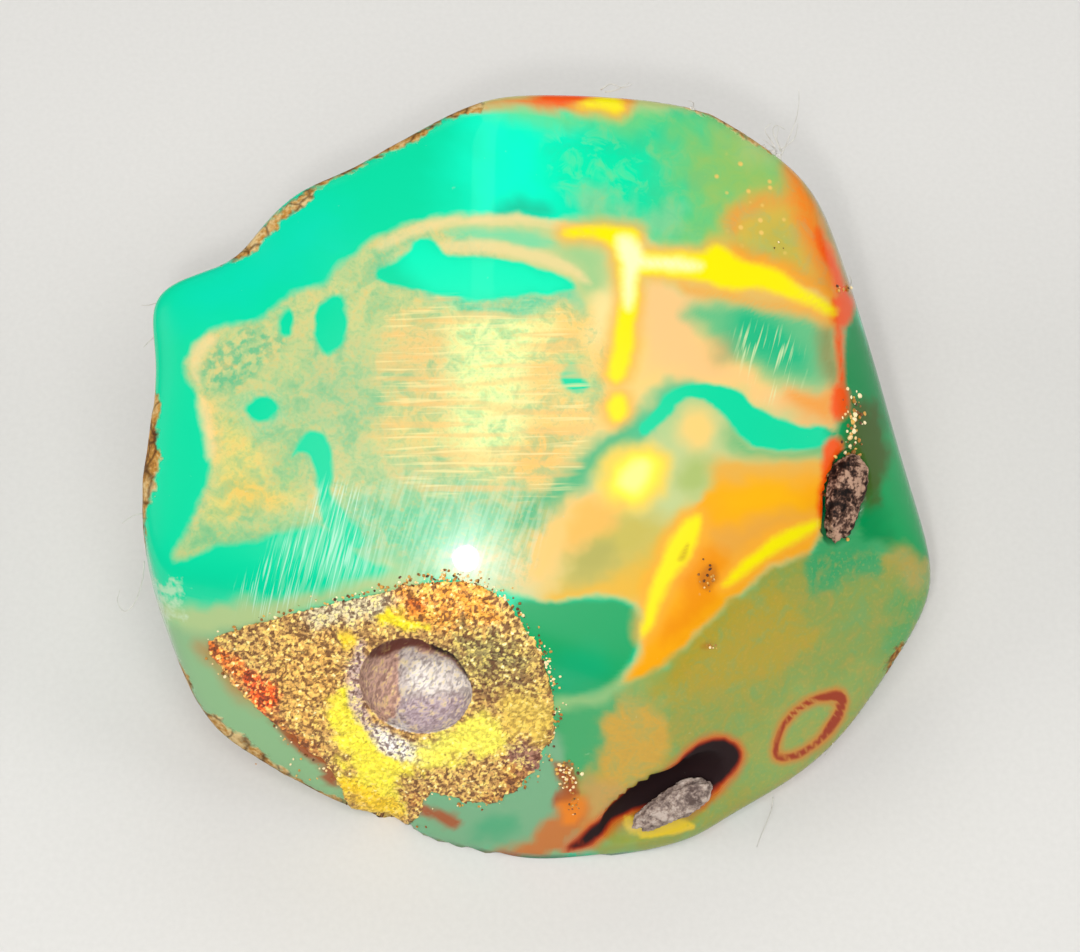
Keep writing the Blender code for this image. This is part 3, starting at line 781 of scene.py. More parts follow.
# Regions of fine marks, each a soft weight: mossy mottling, gold specks, scuffs and scratches.
# They wander by MARK_WOBBLE, and rise from nothing to full over MARK_FADE (mm inside the outline).
MARK_WOBBLE = 0.6
MARK_FADE = (-0.5, 0.7)
MARK_REGIONS = {
    "moss": [(198, 366), (204, 348), (232, 332), (262, 322), (284, 338), (276, 362), (255, 378),
             (236, 390), (214, 396), (202, 384)],
    "cloudy": [(300, 352), (350, 350), (385, 375), (400, 430), (372, 440), (340, 440), (330, 415),
               (285, 380), (250, 470), (300, 500), (340, 470)],
    "specks": [(715, 165), (745, 158), (775, 155), (785, 200), (790, 250), (770, 268), (740, 240),
               (718, 228)],
    "fan": [(262, 560), (300, 520), (322, 480), (346, 480), (376, 520), (372, 560), (330, 600),
            (276, 612), (240, 606)],
    "flank": [(850, 290), (870, 330), (905, 410), (940, 500), (955, 560), (905, 575), (868, 556),
              (850, 520), (846, 440), (850, 350)],
    "streaks": [(385, 318), (470, 300), (575, 320), (590, 400), (575, 490), (440, 500), (395, 480),
                (378, 400)],
    "haze": [(285, 520), (340, 495), (400, 480), (480, 485), (545, 500), (530, 560), (480, 590),
             (400, 578), (330, 596), (280, 600)],
    "lens_scratches": [(742, 335), (795, 335), (800, 390), (750, 396)],
    "milk_flecks": [(180, 560), (180, 350), (330, 270), (420, 215), (560, 290), (610, 330), (600, 420),
                    (560, 470), (520, 590), (440, 580), (340, 540)],
    "face_flecks": [(600, 706), (660, 676), (726, 610), (800, 560), (880, 548), (930, 560), (934, 610),
                    (880, 720), (780, 810), (700, 838), (610, 836), (596, 780)],
    "crown_flecks": [(560, 118), (640, 108), (720, 112), (780, 160), (820, 220), (848, 290), (800, 286),
                     (740, 252), (690, 246), (600, 226), (560, 190)],
    "chalk": [(146, 572), (180, 575), (190, 600), (184, 622), (155, 622), (144, 600)],
}

# The crust lies in a recess and each chip in an open pocket. The crust's edge is drawn straight
# on, in millimetres right of and above the heart. Each chip: its azimuth and elevation, its turn
# (degrees), the half sizes of its pocket and of itself, and how far it is shifted (mm).
CRUST_OUTLINE = [
    (-20.2, -10.3), (-15.0, -8.4), (-9.8, -7.1), (-5.6, -6.3), (-2.6, -7.0), (-0.2, -9.8),
    (1.1, -13.2), (0.9, -16.4), (-0.9, -19.3), (-3.6, -20.8), (-6.6, -20.0), (-8.0, -22.6),
    (-11.4, -22.0), (-13.0, -18.7), (-16.2, -15.7), (-18.8, -13.1),
]
RECESS_DEPTH = 8.4 * MM     # deep enough for the pit and for the crust behind it
RECESS_WALL = (0.1, 1.0)    # mm inside that edge, where its wall starts and where it ends
CHIPS = {
    "bark_chip": {"place": (-65, -25), "turn": 30, "pocket": (5.2, 2.2, 1.9),
                  "chip": (2.8, 0.95, 0.9), "shift": (-0.2, -0.75, -0.3)},
    "stone_chip": {"place": (-9, 6.6), "turn": 45, "pocket": (3.2, 1.65, 1.6),
                   "chip": (2.7, 1.15, 1.0), "shift": (0.0, 0.0, -0.1)},
}


def straight_spots(points):
    """Where each point falls on a sheet through the heart that is seen straight on, in steps."""
    apart = (points - HEART) / MM
    return np.stack([apart @ RIGHT, apart @ UP], axis=1) * STEPS_PER_MM


def chip_seat(name):
    """A frame on the surface at a chip: X along it, Y across it, Z out of the lump."""
    azimuth, elevation = CHIPS[name]["place"]
    ways_round = np.array([facing(azimuth, elevation), facing(azimuth + 1, elevation),
                           facing(azimuth - 1, elevation), facing(azimuth, elevation + 1),
                           facing(azimuth, elevation - 1)])
    point, east, west, higher, lower = HEART + ways_round * lump_radius(ways_round)[:, None]
    out = Vector(np.cross(east - west, higher - lower)).normalized()
    side = Vector((0, 0, 1)).cross(out).normalized()
    seat = Matrix((side, out.cross(side), out)).transposed().to_4x4()
    return Matrix.Translation(point) @ seat @ Matrix.Rotation(math.radians(CHIPS[name]["turn"]), 4, "Z")


crust_inside = inside_distance(straight_spots(skin), np.array(CRUST_OUTLINE) * STEPS_PER_MM)
sunk = skin - ways * (RECESS_DEPTH * ramp(crust_inside, *RECESS_WALL) * (lean > 0))[:, None]
for name, sizes in CHIPS.items():
    seat = np.array(chip_seat(name))
    local = (skin - seat[:3, 3]) @ seat[:3, :3] / MM
    half = np.array(sizes["pocket"])
    share = np.clip(1 - (local[:, 0] / half[0]) ** 2 - (local[:, 1] / half[1]) ** 2, 0, 1)
    floor = local[:, 2] + half[2] * np.sqrt(share)
    drop = np.where((share > 0) & (np.abs(local[:, 2]) < half[2]), np.clip(floor, 0, half[2]), 0)
    sunk -= seat[:3, 2] * (drop * MM)[:, None]
# The natural skin is uneven, less so where the front was ground, and dries back below the polish.
# It keeps clear of the crust. All in millimetres.
SKIN_BUMP = 2.4
SKIN_BUMP_HEIGHT = 0.24
SKIN_SUNK = 0.08
SKIN_FADE = (-0.2, 0.5)
SKIN_GROUND_OFF = 0.7   # the part of all this that the grinding took off at the front
CRUST_CLEARANCE = 0.3
skin_relief = SKIN_BUMP_HEIGHT * mottle(points_mm, SKIN_BUMP, seed=61, octaves=3) - SKIN_SUNK
skin_relief *= ramp(edges["skin_edge"], *SKIN_FADE) * (1 - SKIN_GROUND_OFF * front)
sunk += normals * (skin_relief * (crust_inside < -CRUST_CLEARANCE) * MM)[:, None]
# Nothing reaches below the table.
sunk[:, 2] = np.maximum(sunk[:, 2], 0.0)
for vertex, point in zip(shape.verts, sunk):
    vertex.co = point

mesh = mesh_from("polished_amber", shape)
keep_on(mesh, "clear_colour", clear_colour)
keep_on(mesh, "milk_colour", milk_colour)
for name, edge in edges.items():
    keep_on(mesh, name, edge)
for name, outline in MARK_REGIONS.items():
    keep_on(mesh, name, ramp(inside_wandering(outline, MARK_WOBBLE), *MARK_FADE) * front)
mesh.shade_smooth()

# Amber, ground and buffed: a glossy clear face over resin that glows green and honey, hazed by
# hairline scratches, with a dry brown skin where it was never ground.
AMBER_IOR = 1.54
AMBER_CLEARNESS = 0.26      # the part of the light that goes through, past the bubbles
AMBER_TINT = "F0B050"       # of the light that has gone through a lot of it
AMBER_DEPTH = 60.0          # how fast it is tinted, for each metre
RAGGED_SIZE = 0.5 * MM      # of the small steps in an outline
RAGGED_REACH = 0.22         # mm, how far they move it in all
FLECK_SIZE = 0.26 * MM
SWIRL_SIZE = 1.3 * MM
buffed_amber = bare_material("buffed_amber")
tree = buffed_amber.node_tree
place = add(tree, "TexCoord").outputs["Object"]
ragged = add(tree, "TexNoise", {"Vector": place, "Scale": 1 / RAGGED_SIZE,
                                "Detail": 2.0}).outputs["Fac"]
shake = add(tree, "Math", {0: ragged, 1: RAGGED_REACH, 2: -RAGGED_REACH / 2},
            operation="MULTIPLY_ADD").outputs[0]
fleck = add(tree, "TexNoise", {"Vector": place, "Scale": 1 / FLECK_SIZE, "Detail": 2.0}).outputs["Fac"]
stirred = add(tree, "TexNoise", {"Vector": place, "Scale": 1 / SWIRL_SIZE, "Detail": 3.0,
                                 "Roughness": 0.6, "Distortion": 0.7}).outputs["Fac"]
paint = add(tree, "Attribute", attribute_name="clear_colour").outputs["Color"]
milk = add(tree, "Attribute", attribute_name="milk_colour").outputs["Color"]

# Soft clouds and green moss in the milk; warm and green resin stirred into it in swirls and fine
# flecks; and flecks of both in the clear under the ground faces. Each: the resin, the noise, the
# region, the colour, the value where it starts, the value where it is full and its strength.
SWIRLS = [
    ("milk", ragged, "cloudy", "9CC88C", 0.42, 0.72, 0.75),
    ("milk", ragged, "moss", "4CBE8C", 0.44, 0.58, 0.75),
    ("milk", stirred, "milk_flecks", "FFC070", 0.5, 0.68, 0.26),
    ("milk", stirred, "milk_flecks", "66C08A", 0.53, 0.35, 0.5),
    ("milk", fleck, "milk_flecks", "F4BC50", 0.52, 0.7, 0.22),
    ("milk", fleck, "milk_flecks", "62B478", 0.48, 0.32, 0.22),
    ("clear", stirred, "face_flecks", "C8A040", 0.5, 0.68, 0.3),
    ("clear", stirred, "face_flecks", "58B070", 0.49, 0.34, 0.3),
    ("clear", fleck, "face_flecks", "E8B850", 0.54, 0.72, 0.16),
    ("clear", fleck, "face_flecks", "58B070", 0.46, 0.3, 0.16),
    ("clear", stirred, "crown_flecks", "C0BC54", 0.5, 0.7, 0.2),
    ("clear", stirred, "crown_flecks", "38C08C", 0.49, 0.32, 0.2),
]
resins = {"milk": milk, "clear": paint}
for resin, pattern, region, colour, start, full, strength in SWIRLS:
    weight = add(tree, "Attribute", attribute_name=region).outputs["Fac"]
    cover = add(tree, "MapRange", {"Value": pattern, "From Min": start, "From Max": full,
                                   "To Max": strength}).outputs[0]
    cover = add(tree, "Math", {0: cover, 1: weight}, operation="MULTIPLY").outputs[0]
    resins[resin] = add(tree, "Mix", {0: cover, 6: resins[resin], 7: linear(colour)},
                        data_type="RGBA").outputs[2]
milk = resins["milk"]
paint = resins["clear"]

# Each layer: the edge it follows, the distances inside it (mm) where it starts and is full, its
# strength and its colour. The small ragged steps are in every edge but the clean ones.
LAYERS = [
    ("milk_edge", -0.35, 0.3, 1.0, milk),
    ("cream_edge", -0.3, 0.25, 0.6, linear("FFDD9C")),
    ("vein_edge", -1.1, 0.1, 0.75, linear("FFB438")),
    ("ember_edge", -0.4, 0.2, 0.95, linear("FF5400")),
    ("vein_edge", -0.38, 0.3, 1.0, linear("FFF000")),
    ("heart_edge", -0.55, 0.45, 0.95, linear("FFFFC4")),
    ("stain_edge", -0.3, 0.2, 0.6, linear("B4601C")),
    ("ring_edge", -0.5, 0.1, 0.8, linear("E8781A")),
    ("ring_edge", -0.12, 0.08, 0.95, linear("A02A00")),
    # Round the open pocket an orange and a dark red rim, and in it the painted shade of its hollow.
    ("pocket_edge", -0.7, 0.05, 0.9, linear("E25A08")),
    ("pocket_edge", -0.22, 0.05, 0.9, linear("981C00")),
    ("pocket_edge", -0.05, 0.2, 1.0, linear("241214")),
    ("lip_edge", -0.14, 0.1, 0.95, linear("ECCA34")),
]
CLEAN_EDGES = ("ring_edge", "pocket_edge")
for edge, start, full, strength, colour in LAYERS:
    shaken = add(tree, "Attribute", attribute_name=edge).outputs["Fac"]
    if edge not in CLEAN_EDGES:
        shaken = add(tree, "Math", {0: shaken, 1: shake}, operation="ADD").outputs[0]
    cover = add(tree, "MapRange", {"Value": shaken, "From Min": start, "From Max": full,
                                   "To Max": strength}, interpolation_type="SMOOTHSTEP").outputs[0]
    paint = add(tree, "Mix", {0: cover, 6: paint, 7: colour}, data_type="RGBA").outputs[2]

# Brushed streaks and hairline scratches lie along their own way in each region, level or up to
# the right. Real hairlines are finer than these: they are as coarse as it takes to show them.
# Each: its region, the way it runs on the sheet (right, up), its length and width (mm), its
# colour, how much it shows and from which value of the noise on.
SCRATCHES = [
    # The streaks and the haze are real hairline scratches, painted pale where they catch the lamp: a
    # painted glint across the band of glare, and a painted sheen round the highlight.
    ("streaks", (1.0, 0.02), 7.0, 0.16, "FFC470", 0.45, 0.49),
    ("streaks", (1.0, 0.02), 4.5, 0.06, "FFF0A4", 0.5, 0.55),
    ("haze", (0.3, 0.95), 3.0, 0.06, "D8F8D4", 0.2, 0.44),
    ("fan", (0.25, 0.97), 3.0, 0.03, "DCFFE8", 0.5, 0.52),
    ("lens_scratches", (0.28, 0.96), 3.0, 0.05, "E4F4B8", 0.7, 0.55),
]
SCRATCH_EDGE = 0.12     # how much further the noise rises until a scratch is full
SCRATCH_GAP = 4         # from one scratch to the next, in its own widths
for region, (level, rise), length, width, colour, strength, start in SCRATCHES:
    runs = (RIGHT * level + UP * rise) / (length * MM)
    crosses = (RIGHT * rise - UP * level) / (width * SCRATCH_GAP * MM)
    along = add(tree, "VectorMath", {0: place, 1: tuple(runs)}, operation="DOT_PRODUCT")
    across = add(tree, "VectorMath", {0: place, 1: tuple(crosses)}, operation="DOT_PRODUCT")
    flat = add(tree, "CombineXYZ", {0: along.outputs["Value"], 1: across.outputs["Value"]}).outputs[0]
    hairs = add(tree, "TexNoise", {"Vector": flat, "Scale": 1.0, "Detail": 1.0}).outputs["Fac"]
    weight = add(tree, "Attribute", attribute_name=region).outputs["Fac"]
    line = add(tree, "MapRange", {"Value": hairs, "From Min": start,
                                  "From Max": start + SCRATCH_EDGE}).outputs[0]
    seen = add(tree, "Math", {0: line, 1: weight}, operation="MULTIPLY").outputs[0]
    cover = add(tree, "Math", {0: seen, 1: strength}, operation="MULTIPLY").outputs[0]
    paint = add(tree, "Mix", {0: cover, 6: paint, 7: linear(colour)}, data_type="RGBA").outputs[2]

# Gold specks, one in some of the cells of a fine net.
SPECK_SPACING = 0.7 * MM
EMPTY_CELLS = 0.55
cells = add(tree, "TexVoronoi", {"Vector": place, "Scale": 1 / SPECK_SPACING})
dot = add(tree, "MapRange", {"Value": cells.outputs["Distance"], "From Min": 0.3, "From Max": 0.15})
chosen = add(tree, "SeparateColor", {0: cells.outputs["Color"]}).outputs[0]
picked = add(tree, "Math", {0: chosen, 1: EMPTY_CELLS}, operation="GREATER_THAN").outputs[0]
weight = add(tree, "Attribute", attribute_name="specks").outputs["Fac"]
shown = add(tree, "Math", {0: dot.outputs[0], 1: picked}, operation="MULTIPLY").outputs[0]
shown = add(tree, "Math", {0: shown, 1: weight}, operation="MULTIPLY").outputs[0]
paint = add(tree, "Mix", {0: shown, 6: paint, 7: linear("F2C868")}, data_type="RGBA").outputs[2]

# A chalky scuff at the left tip.
weight = add(tree, "Attribute", attribute_name="chalk").outputs["Fac"]
both = add(tree, "Math", {0: weight, 1: 0.4, 2: ragged}, operation="MULTIPLY_ADD").outputs[0]
cover = add(tree, "MapRange", {"Value": both, "From Min": 0.75, "To Max": 0.7}).outputs[0]
paint = add(tree, "Mix", {0: cover, 6: paint, 7: linear("CFE8C0")}, data_type="RGBA").outputs[2]


def set_tones(ramp_node, tones):
    """Give a colour ramp its tones, each the place where it lies and its hex colour."""
    knots = ramp_node.color_ramp.elements
    for number, (spot, colour) in enumerate(tones):
        knot = knots[number] if number < 2 else knots.new(spot)
        knot.position = spot
        knot.color = linear(colour)


# The natural skin: dry brown and gold, finely flecked.
RIND_PATCH = 2.8 * MM
broad = add(tree, "TexNoise", {"Vector": place, "Scale": 1 / RIND_PATCH, "Detail": 3.0}).outputs["Fac"]
mixed = add(tree, "Math", {0: fleck, 1: 0.6, 2: broad}, operation="MULTIPLY_ADD").outputs[0]
mixed = add(tree, "Math", {0: mixed, 1: 0.18}, operation="SUBTRACT").outputs[0]
rind = add(tree, "ValToRGB", {0: mixed})
set_tones(rind, [(0.34, "5A3418"), (0.48, "94602A"), (0.62, "C48E40"), (0.8, "E6C68A")])
skin_distance = add(tree, "Attribute", attribute_name="skin_edge").outputs["Fac"]
shaken = add(tree, "Math", {0: shake, 1: 3.0, 2: skin_distance}, operation="MULTIPLY_ADD").outputs[0]
drifted = add(tree, "Math", {0: broad, 1: 1.2, 2: -0.6}, operation="MULTIPLY_ADD").outputs[0]
shaken = add(tree, "Math", {0: shaken, 1: drifted}, operation="ADD").outputs[0]
bare = add(tree, "MapRange", {"Value": shaken, "From Min": -0.1, "From Max": 0.1}).outputs[0]
# It has dried and crazed in a net of dark cracks that bend this way and that.
CRACK_SPACING = 1.9 * MM
CRACK_SWAY = 1.6 * MM
sway = add(tree, "TexNoise", {"Vector": place, "Scale": 1 / CRACK_SWAY, "Detail": 1.0}).outputs["Color"]
bent = add(tree, "VectorMath", {0: sway, 1: (CRACK_SWAY,) * 3, 2: place},
           operation="MULTIPLY_ADD").outputs[0]
crack = add(tree, "TexVoronoi", {"Vector": bent, "Scale": 1 / CRACK_SPACING},
            feature="DISTANCE_TO_EDGE")
crack = add(tree, "MapRange", {"Value": crack.outputs["Distance"], "From Min": 0.09, "From Max": 0.0,
                               "To Max": 0.75}).outputs[0]
rind = add(tree, "Mix", {0: crack, 6: rind.outputs[0], 7: linear("3A2010")},
           data_type="RGBA").outputs[2]
paint = add(tree, "Mix", {0: bare, 6: paint, 7: rind}, data_type="RGBA").outputs[2]

# The skin and the pocket's hollow, painted dark as its shade, are dry, with hardly a gloss on them.
pocket_hollow = add(tree, "Attribute", attribute_name="pocket_edge").outputs["Fac"]
pocket_hollow = add(tree, "MapRange", {"Value": pocket_hollow, "From Min": -0.2, "From Max": 0.1}).outputs[0]
unpolished = add(tree, "Math", {0: bare, 1: pocket_hollow}, operation="MAXIMUM").outputs[0]
rough = add(tree, "MapRange", {"Value": unpolished, "To Min": 0.22, "To Max": 0.75}).outputs[0]
coat = add(tree, "MapRange", {"Value": unpolished, "To Min": 0.32, "To Max": 0.04}).outputs[0]
# The right flank was ground but hardly buffed.
dull = add(tree, "Attribute", attribute_name="flank").outputs["Fac"]
dull = add(tree, "MapRange", {"Value": dull, "To Min": 1.0, "To Max": 0.15}).outputs[0]
coat = add(tree, "Math", {0: coat, 1: dull}, operation="MULTIPLY").outputs[0]
# The buffing wheel left the polish very slightly wavy.
POLISH_WAVE = 2.5 * MM
wave = add(tree, "TexNoise", {"Vector": place, "Scale": 1 / POLISH_WAVE, "Detail": 0.0}).outputs["Fac"]
polish = add(tree, "Bump", {"Height": wave, "Strength": 0.15, "Distance": 0.06 * MM}).outputs[0]
skin_height = add(tree, "Math", {0: bare, 1: mixed}, operation="MULTIPLY").outputs[0]
surface = add(tree, "Bump", {"Height": skin_height, "Strength": 0.8, "Distance": 0.25 * MM,
                             "Normal": polish}).outputs[0]
shader = add(tree, "BsdfPrincipled", {
    "Base Color": paint, "Roughness": rough, "IOR": AMBER_IOR, "Normal": surface,
    "Transmission Weight": AMBER_CLEARNESS, "Specular IOR Level": 0.08,
    "Coat Weight": coat, "Coat Roughness": 0.03, "Coat IOR": AMBER_IOR})
depth = add(tree, "VolumeAbsorption", {"Color": linear(AMBER_TINT), "Density": AMBER_DEPTH})
add(tree, "OutputMaterial", {"Surface": shader.outputs[0], "Volume": depth.outputs[0]})
amber = set_out("polished_amber", mesh, buffed_amber)
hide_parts("amber")
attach(amber, "root")

# ---------------------------------------------------------------------------------------------
# The crust: a patch of sand and pyrite grains set hard in dark resin, grown into the front of the
# amber. Something fell out of its middle and left a round pit with a dusty floor.
# ---------------------------------------------------------------------------------------------
CRUST_CELL = 0.07 * MM
CRUST_MARGIN = 0.45         # mm of it that lie hidden under the amber's edge
CRUST_SUNK = 0.5            # mm, at that hidden edge
CRUST_PROUD = 0.06          # mm that it stands out of the amber everywhere else
CRUST_WANDER = 1.1          # mm, between the bends of that edge
CRUST_WANDER_REACH = 0.35   # mm
CRUST_FEATHER = 0.25        # mm inside its outline, where it has risen out of the amber
CRUST_BACK = 2.5            # mm that its rim is drawn inwards behind
CRUST_FLOOR = 1.4           # mm of it that lie below the pit
GRAIN_WIDTH = 0.19 * MM
GRAIN_HEIGHT = 0.09 * MM
GRAIN_FOOT = 0.6            # how far from its middle a grain ends, in its widths
GRAIN_LEAST = 0.4           # the flattest grain's height, where the tallest's is 1 more
LUMP_WIDTH = 1.5 * MM
LUMP_HEIGHT = 0.16 * MM
PIT_PLACE = (-118.3, -9.1)  # azimuth and elevation, from the heart
PIT_AXIS = (-99, 36)        # the way it opens
PIT_RADIUS = 3.55           # mm, where it is widest
PIT_DEPTH = 4.2             # mm, from its mouth
PIT_UNDERCUT = 0.7          # mm from its mouth to where it is widest
PIT_UNEVEN = 0.05           # how far its mouth is from round, for its radius
PIT_BEND = 2.5              # mm, between the bends of the mouth
PIT_CALM = 0.5              # how high grains and lumps stand in it, for their height outside

# The crust's soft colours, laid in the same way as those in the amber. Zones with one of these
# words in their name cover the grains with an even smear.
SMEARED = ("yellow", "lip", "black")
CRUST_GROUND = "D8A85E"
CRUST_ZONES = [
    ("gold_left", "EDB45A", 1.2, 1.0, 0.9, [
        (265, 650), (330, 640), (345, 700), (310, 740), (275, 700)]),
    ("cream_top", "EADCB0", 0.5, 0.6, 0.9, [
        (312, 600), (375, 588), (400, 595), (390, 612), (340, 622), (322, 630), (308, 618)]),
    ("umber_right", "9A7648", 1.0, 0.9, 0.9, [
        (470, 670), (540, 660), (552, 700), (545, 740), (500, 700), (476, 700)]),
    ("ember_tip", "F07828", 0.3, 0.5, 0.95, [
        (200, 640), (214, 640), (238, 655), (244, 672), (236, 684), (222, 672), (208, 655)]),
    ("ember_low", "FF5A14", 0.3, 0.5, 0.95, [
        (244, 672), (262, 670), (278, 684), (276, 705), (262, 714), (250, 704), (246, 688)]),
    ("orange_top", "FFA836", 0.7, 0.7, 0.9, [
        (395, 596), (430, 578), (470, 578), (496, 596), (505, 622), (470, 628), (430, 622), (402, 615)]),
    ("red_top", "F06A1C", 0.3, 0.4, 0.8, [(405, 598), (420, 595), (422, 606), (408, 607)]),
    ("olive_right", "988C56", 0.9, 0.9, 0.9, [
        (448, 636), (500, 630), (530, 640), (528, 668), (495, 670), (468, 666), (452, 650)]),
    ("gold_edge", "F0C468", 0.7, 0.8, 0.8, [
        (505, 612), (535, 622), (552, 660), (556, 700), (540, 690), (530, 655), (508, 640)]),
    ("brown_fringe", "C07E3C", 0.5, 0.5, 0.85, [
        (504, 745), (530, 735), (555, 735), (552, 770), (500, 815), (440, 815), (395, 798), (420, 790),
        (470, 798), (500, 780)]),
    ("mauve_fringe", "A07468", 0.4, 0.5, 0.8, [
        (504, 742), (530, 738), (549, 748), (545, 772), (520, 775), (506, 760)]),
    ("lower_fringe", "CE7230", 0.35, 0.4, 0.85, [
        (270, 712), (285, 722), (318, 752), (334, 778), (322, 780), (296, 752), (268, 724)]),
    ("yellow_upper", "FFE61E", 0.3, 0.5, 1.0, [
        (376, 612), (392, 608), (415, 616), (428, 628), (405, 628), (392, 624), (376, 628)]),
    ("yellow_dab", "FFD82C", 0.3, 0.4, 1.0, [(340, 634), (352, 630), (358, 640), (346, 646)]),
    ("yellow_wall", "FFF01E", 0.3, 0.4, 1.0, [
        (338, 688), (350, 684), (358, 698), (356, 712), (374, 726), (382, 742), (370, 746), (352, 730),
        (346, 712), (340, 704)]),
    ("yellow_field", "FFEC3C", 0.6, 0.8, 1.0, [
        (318, 715), (345, 700), (372, 735), (405, 756), (420, 762), (408, 782), (398, 800), (402, 818),
        (380, 802), (340, 784), (330, 776), (352, 768)]),
    ("yellow_tongue", "FFD214", 0.4, 0.5, 0.9, [(330, 780), (372, 782), (402, 822), (360, 806)]),
    ("scoop", "CFB2AC", 0.3, 0.3, 0.9, [
        (346, 676), (353, 655), (362, 640), (366, 668), (366, 700), (376, 722), (394, 738), (424, 744),
        (446, 730), (446, 744), (420, 758), (388, 748), (364, 726), (352, 704)]),
    ("pale_rim", "FFF8F0", 0.4, 0.5, 1.0, [
        (376, 722), (392, 734), (416, 742), (440, 742), (424, 762), (398, 758), (380, 742)]),
    ("yellow_right", "FFF256", 0.5, 0.7, 0.95, [
        (420, 742), (462, 716), (485, 712), (502, 735), (500, 756), (470, 760), (430, 770), (414, 760)]),
    ("yellow_far", "F8D454", 0.7, 0.8, 0.7, [(500, 700), (548, 690), (548, 730), (505, 735)]),
]
# The pit's own zones lie over the same ground.
PIT_ZONES = [
    ("pit_wall", "D8AC98", 0.5, 0.2, 1.0, [
        (330, 690), (345, 650), (378, 615), (405, 605), (450, 615), (475, 640), (495, 690), (485, 740),
        (448, 770), (420, 775), (385, 770), (350, 738)]),
    ("pit_wall_pale", "CFA898", 0.5, 0.4, 0.7, [
        (362, 676), (376, 652), (392, 656), (394, 676), (388, 700), (370, 706)]),
    ("pit_floor", "CEC2BC", 0.12, 0.3, 1.0, [
        (399, 652), (419, 648), (444, 653), (460, 662), (480, 676), (480, 700), (468, 722), (446, 745),
        (420, 755), (392, 748), (382, 728), (394, 712), (402, 698), (397, 675)]),
    # A painted highlight: the brightest patch of the pit's lit floor.
    ("pit_highlight", "F6EEE6", 0.35, 0.4, 1.0, [
        (414, 662), (440, 657), (462, 668), (470, 684), (456, 694), (430, 692), (412, 684)]),
    ("pit_lilac", "C8B4BE", 0.45, 0.5, 0.85, [
        (400, 702), (430, 698), (462, 702), (456, 722), (430, 730), (404, 722)]),
    ("pit_pale", "FFFCFA", 0.35, 0.5, 0.95, [
        (384, 724), (404, 722), (424, 738), (420, 756), (392, 748)]),
    # Painted shadow: dark crescents under the pit's overhanging upper lip.
    ("pit_lip_shadow", "6E382C", 0.14, 0.15, 1.0, [
        (366, 656), (376, 636), (405, 622), (440, 626), (466, 650), (474, 676), (466, 676), (456, 662),
        (440, 652), (420, 647), (400, 650), (384, 656)]),
    ("pit_black_shadow", "1C0A08", 0.1, 0.1, 1.0, [
        (428, 632), (450, 638), (468, 654), (476, 680), (468, 680), (459, 663), (446, 653), (432, 648)]),
]
# How broadly and how finely all these outlines wander (mm), and the finer one's share.
CRUST_DRIFT_BROAD = 1.6
CRUST_DRIFT_FINE = 0.45
CRUST_DRIFT_FINE_SHARE = 0.6
# The lump's surface is looked for between two distances from the heart towards the viewer (mm),
# and the stretch that it lies in is halved this many times.
SEARCH_FROM = -4.0
SEARCH_TO = 24.0
HALVINGS = 28


def crust_surface(level, rise):
    """The lump's surface points over places on the straight sheet, given in millimetres."""
    low = np.full(len(level), SEARCH_FROM)
    high = np.full(len(level), SEARCH_TO)
    base = level[:, None] * RIGHT + rise[:, None] * UP
    for _ in range(HALVINGS):
        middle = (low + high) / 2
        apart = base + middle[:, None] * NEAR
        length = np.linalg.norm(apart, axis=1)
        outside = length * MM > lump_radius(apart / length[:, None])
        high = np.where(outside, middle, high)
        low = np.where(outside, low, middle)
    return HEART + (base + middle[:, None] * NEAR) * MM


# A grid of cells over the outline, of which only the whole ones inside it are kept.
edge = np.array(CRUST_OUTLINE)
cell = CRUST_CELL / MM
levels = np.arange(edge[:, 0].min() - 1, edge[:, 0].max() + 1, cell)
rises = np.arange(edge[:, 1].min() - 1, edge[:, 1].max() + 1, cell)
level, rise = (grid.ravel() for grid in np.meshgrid(levels, rises))
inside = inside_distance(np.stack([level, rise], axis=1) * STEPS_PER_MM, edge * STEPS_PER_MM)
kept = (inside > -CRUST_MARGIN).reshape(len(rises), len(levels))
whole = kept[:-1, :-1] & kept[:-1, 1:] & kept[1:, 1:] & kept[1:, :-1]
kept[:] = False
for down, along in ((0, 0), (0, 1), (1, 1), (1, 0)):
    kept[down:len(rises) - 1 + down, along:len(levels) - 1 + along] |= whole
kept = kept.ravel()
number = np.full(len(level), -1)
number[kept] = np.arange(kept.sum())
level, rise, inside = level[kept], rise[kept], inside[kept]
face = crust_surface(level, rise)
face_mm = face / MM
crust_spots = sheet_spots(face)
outward = (face - HEART) / np.linalg.norm(face - HEART, axis=1)[:, None]
edge_wander = mottle(face_mm, CRUST_WANDER, seed=5, octaves=3) * CRUST_WANDER_REACH
risen = ramp(inside + edge_wander, -CRUST_MARGIN, CRUST_FEATHER)
lift = CRUST_SUNK * (risen - 1) + CRUST_PROUD
face += outward * (lift * MM)[:, None]

# The pit is a bowl, widest a little below its mouth.
axis = facing(*PIT_AXIS)
mouth_way = facing(*PIT_PLACE)
mouth = HEART + mouth_way * lump_radius(mouth_way[None, :])[0]
apart = (face - mouth) / MM
height = apart @ axis
flat = apart - height[:, None] * axis
bowl_depth = PIT_DEPTH - PIT_UNDERCUT
start_angle = -math.asin(PIT_UNDERCUT / bowl_depth)
mouth_radius = PIT_RADIUS * math.cos(start_angle)
out = np.linalg.norm(flat, axis=1)
share = out / mouth_radius * (1 + PIT_UNEVEN * mottle(flat, PIT_BEND, seed=13))
in_pit = share < 1
angle = start_angle + (math.pi / 2 - start_angle) * (1 - np.clip(share, 0, 1))
bowl = flat / np.maximum(out, 1e-6)[:, None] * (PIT_RADIUS * np.cos(angle))[:, None]
bowl += axis * (height * np.clip(share, 0, 1) ** 2 - PIT_UNDERCUT - bowl_depth * np.sin(angle))[:, None]
face = np.where(in_pit[:, None], mouth + bowl * MM, face)
crust_spots = np.where(in_pit[:, None], sheet_spots(face), crust_spots)

